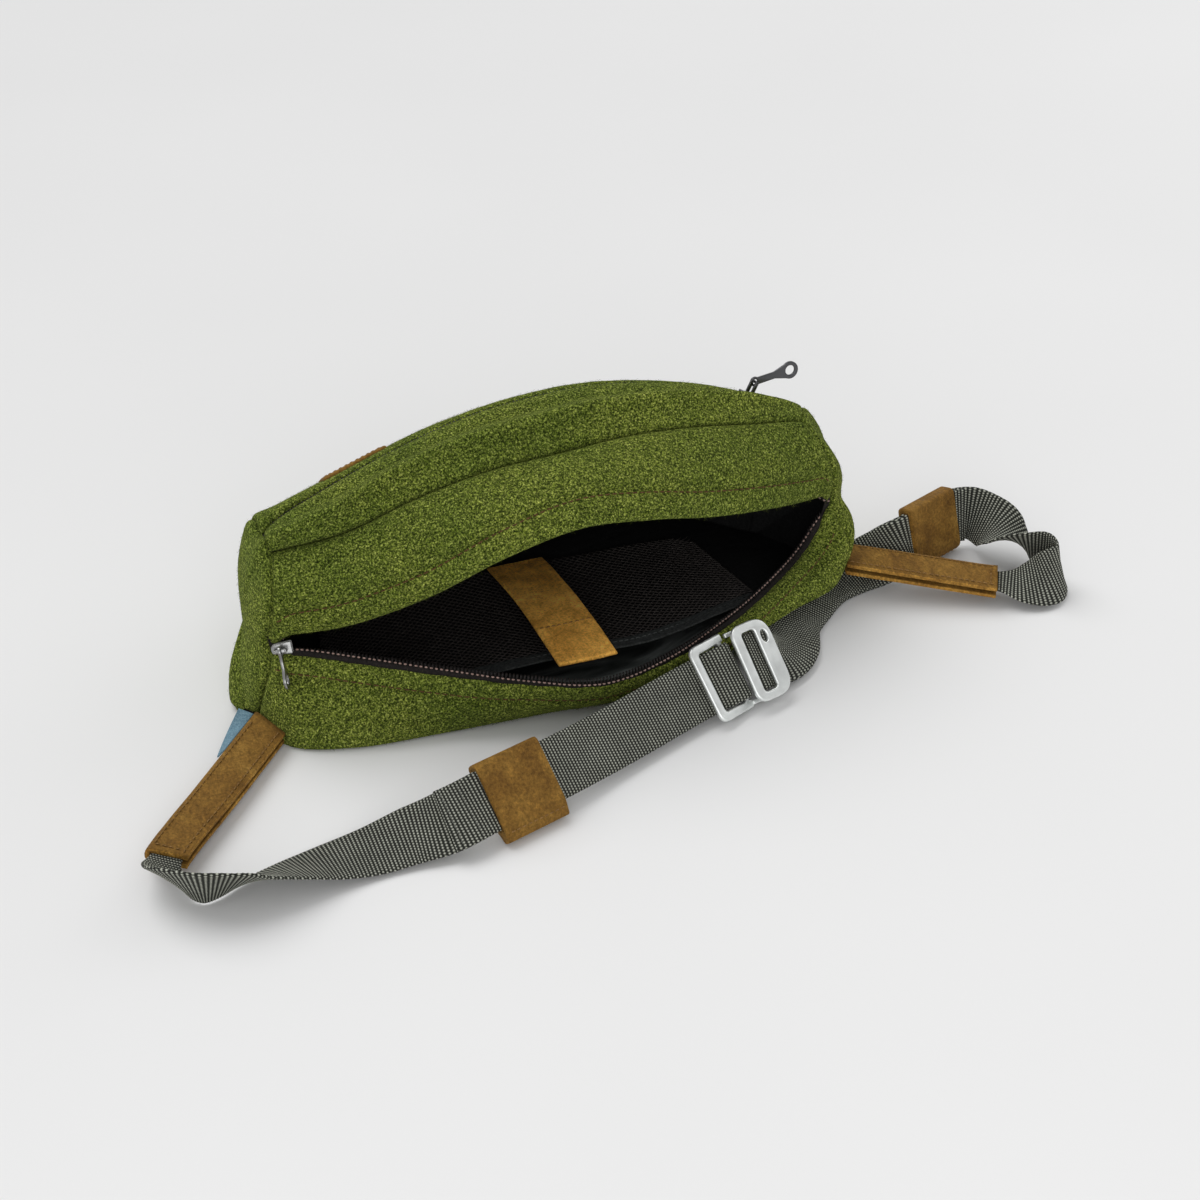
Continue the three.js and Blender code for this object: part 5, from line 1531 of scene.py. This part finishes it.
def hem(side):
    rows, columns = HEM["rows"], HEM["columns"]
    s, at, across, up, wide = (v[-rows:, None] for v in belt_path(side, HEM["step"]))
    x = np.linspace(-1, 1, columns)[None] * wide / 2
    grid = at + across * x[..., None] - up * HEM["lift"]
    normals = np.broadcast_to(-up, grid.shape)
    wave = HEM["wave"] * np.cos(np.arange(rows) * np.pi / HEM["pitch"])[:, None] * np.cos(np.arange(columns) * np.pi)
    uv = np.stack(np.broadcast_arrays(s, x), 2)
    top = grid + normals * wave[..., None]
    place(slab(f"belt_hem_{side}", top, normals, HEM["thick"], HEM["round"], WEB_MAT, uv), "bag", "webbing")
    for tag, row in HEM_STITCHED.items():
        line = row, slice(2, -2)
        path = grid[line] + normals[line] * HEM_STITCH_LIFT
        stitches(f"hem_stitches_{side}_{tag}", path, normals[line], WEB_THREAD_MAT, "hem")


for make, sides in ((wing_stitches, WINGS), (keeper_stitches, KEEPERS), (hem, BELTS)):
    for side in sides:
        make(side)

# Metal pieces

BEVEL_STEPS = 3
WELD = 1e-6
SHARP = math.radians(38)
SAME = Matrix.Identity(4)


def moved(x, y, z):
    return Matrix.Translation(Vector((x, y, z)) * MM)


def local_frame(origin, x, y, z):
    matrix = Matrix((x, y, z)).transposed().to_4x4()
    matrix.translation = Vector(np.asarray(origin) * MM)
    return matrix


def outline_mesh(loops, thick, bevel):
    """Plate with rounded edges from an outline and its holes, centred on z 0, in metres."""
    curve = bpy.data.curves.new("plate", "CURVE")
    curve.dimensions = "2D"
    curve.fill_mode = "BOTH"
    curve.extrude = (thick / 2 - bevel) * MM
    curve.bevel_depth = bevel * MM
    curve.bevel_resolution = BEVEL_STEPS
    curve.offset = -bevel * MM
    for loop in loops:
        spline = curve.splines.new("POLY")
        spline.points.add(len(loop) - 1)
        for point, (x, y) in zip(spline.points, loop):
            point.co = (x * MM, y * MM, 0, 1)
        spline.use_cyclic_u = True
    obj = bpy.data.objects.new("plate", curve)
    bpy.context.scene.collection.objects.link(obj)
    bpy.context.view_layer.update()
    mesh = bpy.data.meshes.new_from_object(obj.evaluated_get(bpy.context.evaluated_depsgraph_get()))
    bpy.data.objects.remove(obj)
    bm = bmesh.new()
    bm.from_mesh(mesh)
    bmesh.ops.remove_doubles(bm, verts=bm.verts[:], dist=WELD)
    bm.to_mesh(mesh)
    bm.free()
    return mesh


def block_mesh(size, centre, bevel):
    bm = bmesh.new()
    bmesh.ops.create_cube(bm, size=1.0)
    bmesh.ops.scale(bm, vec=Vector(size) * MM, verts=bm.verts[:])
    bmesh.ops.bevel(bm, geom=bm.edges[:], offset=bevel * MM, segments=BEVEL_STEPS, affect="EDGES", profile=0.5)
    bmesh.ops.translate(bm, vec=Vector(centre) * MM, verts=bm.verts[:])
    mesh = bpy.data.meshes.new("block")
    bm.to_mesh(mesh)
    bm.free()
    return mesh


def joined(name, meshes, matrix, material):
    """One object from meshes that share a local frame, each with its own place in it."""
    bm = bmesh.new()
    for mesh, own in meshes:
        part = mesh.copy()
        part.transform(matrix @ own)
        bm.from_mesh(part)
    bmesh.ops.recalc_face_normals(bm, faces=bm.faces[:])
    mesh = bpy.data.meshes.new(name)
    bm.to_mesh(mesh)
    bm.free()
    mesh.materials.append(material)
    mesh.polygons.foreach_set("use_smooth", [True] * len(mesh.polygons))
    mesh.set_sharp_from_angle(angle=SHARP)
    obj = bpy.data.objects.new(name, mesh)
    bpy.context.scene.collection.objects.link(obj)
    return obj


def rounded_rect(x0, x1, half, radii, steps=6):
    return rounded_profile([(x0, -half), (x1, -half), (x1, half), (x0, half)], radii, steps)


def arc(cx, cy, rx, ry, angle):
    return np.stack([cx + rx * np.cos(angle), cy + ry * np.sin(angle)], 1)


def ellipse(cx, cy, rx, ry, count=28):
    return arc(cx, cy, rx, ry, np.linspace(0, 2 * np.pi, count, endpoint=False))


BUCKLE = {"half": 17, "window": 13.1, "bar": 2.6, "end_bar": 4.4, "plate": 2.4, "corner": 4, "long": 18, "tilt": 11}
HOOK = {"nose": 5, "window": 7, "plate": 8, "lift": 5.2, "lug": 1.8, "lug_gap": 1.6}
PLATE_BEVEL = 1.0
WINDOW_CORNER = 1.6
# Hole of the hook's plate: share of the plate's length, place across and two radii
HOOK_HOLE = (0.48, 8.7, 1.5, 2.7)


def buckle_end(side):
    """Middle point and directions where a belt half turns round its bar."""
    return belt_at(side, len(BELTS[side]) - 1)


def buckle_ring():
    b = BUCKLE
    at, along, across, normal = buckle_end("left")
    seat = local_frame(at + normal * HAIRPIN, along, across, normal)
    seat = seat @ Matrix.Rotation(math.radians(b["tilt"]), 4, "Y")
    bar, tip, out, side, long = b["bar"] / 2, b["bar"], b["half"], b["window"] + 0.2, b["long"]
    corner = b["corner"] * 1.2
    outline = rounded_profile([
        (-long, -out), (tip, -out), (tip, -side), (bar, -side), (bar, side), (tip, side), (tip, out), (-long, out),
    ], [corner, 1.0, 0.4, 0.4, 0.4, 0.4, 1.0, corner], 6)
    window = rounded_rect(-long + b["end_bar"], -bar, b["window"], WINDOW_CORNER)
    ring = outline_mesh([outline, window], b["plate"], PLATE_BEVEL)
    place(joined("buckle_ring", [(ring, SAME)], seat, ALUMINIUM), "bag", "aluminium", "buckle_frame")


def buckle_plate():
    b, h = BUCKLE, HOOK
    at, along, across, normal = buckle_end("right")
    foot = h["nose"] + b["bar"]
    seat = local_frame(at + normal * HAIRPIN, -along, -across, normal) @ moved(-foot, 0, 0)
    window_end = h["nose"] + h["window"]
    corners = [b["corner"] * share for share in (1.5, 2.2, 2.2, 1.5)]
    outline = rounded_rect(0, window_end + h["plate"], b["half"], corners, 8)
    window = rounded_rect(h["nose"], window_end, b["window"], WINDOW_CORNER)
    share, *hole = HOOK_HOLE
    plate = outline_mesh([outline, window, ellipse(window_end + h["plate"] * share, *hole)], b["plate"], PLATE_BEVEL)
    rail, rail_at = (b["half"] - b["window"]) / 2, (b["half"] + b["window"]) / 2
    lug_from = foot - np.linalg.norm(buckle_end("left")[0] - at) + b["bar"] / 2 + h["lug_gap"]
    blocks = [block_mesh((b["bar"], 2 * b["half"] - b["corner"], b["plate"]), (foot, 0, 0), 0.8)]
    for y in (-rail_at, rail_at):
        blocks.append(block_mesh((b["bar"], rail, h["lift"]), (foot, y, h["lift"] / 2), 0.5))
        blocks.append(block_mesh((foot - lug_from, rail, h["lug"]), ((foot + lug_from) / 2, y, 0), 0.45))
    parts = [(plate, moved(0, 0, h["lift"])), *((block, SAME) for block in blocks)]
    place(joined("buckle_plate", parts, seat, ALUMINIUM), "bag", "aluminium", "buckle_hook")


buckle_ring()
buckle_plate()

# Zip sliders and their hinged pulls

SLIDER_SIZE = (8.5, 5.4)
# Slider: its thickness, and as shares of its sizes its plates, their narrow end and corners, and its core
SLIDER = {"thick": 3, "plate": 0.36, "nose": 0.36, "corner": 0.3, "core": (0.55, 0.4, 0.6)}
BRIDGE = {"span": 5.4, "bar": 1.1, "wide": 1.6, "rise": 3.2, "foot": 0.4}
PULL = {"thick": 1.2, "eye": 1.15, "root": 2.2, "neck": 1.5, "ring": 3.9, "hole": 2.2, "waist": 0.45}
PULL_AXIS = BRIDGE["rise"] - BRIDGE["bar"] / 2
# Each zip: its seams, the slider's place, size, turn and depth, and the pull's length and swing
ZIP_METAL = {
    "main": {"seams": ("zipNear", "zipFar"), "at": 0.062, "size": SLIDER_SIZE, "turn": 0, "sink": 0.8,
             "pull": 16, "swing": 179, "metal": LIT_GUNMETAL},
    "pocket": {"seams": ("crestNear", "crestFar"), "at": 0.84, "size": SLIDER_SIZE[::-1], "turn": 90, "sink": 2.9,
               "pull": 21, "swing": 38, "metal": GUNMETAL},
}
# Turns a flat pull to stand on edge over its hinge
ON_EDGE = Matrix(((0, 0, 1, 0), (0, 1, 0, 0), (-1, 0, 0, 0), (0, 0, 0, 1)))


def zip_seat(near, far, share):
    """Frame on a zip at a share of its length."""
    a, b = (catmull(seam_rows(name), share)[0] for name in (near, far))
    x = tangent(seam_rows(near), [share])[0]
    y = unit(np.cross(np.cross(x, b - a), x))
    z = np.cross(x, y)
    return local_frame((a + b) / 2 + z * (SLIDER["thick"] + CLEAR), x, y, z)


def slider_parts(long, wide, sink):
    """Two plates, the core between them, and the bridge that holds the pull."""
    thick, g = SLIDER["thick"], BRIDGE
    plate, nose, corner = thick * SLIDER["plate"], wide * SLIDER["nose"], wide * SLIDER["corner"]
    outline = rounded_profile([
        (-long / 2, -nose), (long / 2, -wide / 2), (long / 2, wide / 2), (-long / 2, nose),
    ], [corner, 0.8, 0.8, corner], 5)
    cap = outline_mesh([outline], plate, 0.35)
    core = [share * whole for share, whole in zip(SLIDER["core"], (long, wide, thick))]
    blocks = [block_mesh(core, (0, 0, -thick / 2 - sink), 0.3)]
    tall = g["rise"] + g["foot"] + sink
    leg_at = (g["span"] - g["bar"]) / 2
    for x in (-leg_at, leg_at):
        blocks.append(block_mesh((g["bar"], g["wide"], tall), (x, 0, g["rise"] - tall / 2), 0.3))
    blocks.append(block_mesh((g["span"], g["wide"], g["bar"]), (0, 0, PULL_AXIS), 0.38))
    caps = [(cap, moved(0, 0, -plate / 2 - sink)), (cap, moved(0, 0, -thick + plate / 2 - sink))]
    return caps + [(block, SAME) for block in blocks]


def pull_mesh(long):
    p = PULL
    ring_at = long - p["ring"]
    outline = np.concatenate([
        arc(0, 0, p["root"], p["root"], np.linspace(0.75 * np.pi, 2.25 * np.pi, 22)),
        [(p["neck"], long * p["waist"])],
        arc(0, ring_at, p["ring"], p["ring"], np.linspace(-0.2 * np.pi, 1.2 * np.pi, 26)),
        [(-p["neck"], long * p["waist"])],
    ])
    eye, hole = ellipse(0, 0, p["eye"], p["eye"]), ellipse(0, ring_at, p["hole"], p["hole"])
    mesh = outline_mesh([outline, eye, hole], p["thick"], 0.3)
    mesh.transform(ON_EDGE)
    return mesh


def zip_hardware(name):
    d = ZIP_METAL[name]
    seat = zip_seat(*d["seams"], d["at"])
    turn, swing = math.radians(d["turn"]), math.radians(d["swing"])
    turned = seat @ Matrix.Rotation(turn, 4, "Z")
    slider = joined(f"{name}_slider", slider_parts(*d["size"], d["sink"]), turned, d["metal"])
    place(slider, "bag", "gunmetal", f"{name}_zip_slider")
    hang = moved(0, 0, PULL_AXIS) @ Matrix.Rotation(-turn, 4, "Z") @ Matrix.Rotation(swing, 4, "X")
    pull = joined(f"{name}_puller", [(pull_mesh(d["pull"]), hang)], seat, d["metal"])
    place(pull, f"{name}_pull", "gunmetal", f"{name}_zip_pull")


for name in ZIP_METAL:
    zip_hardware(name)
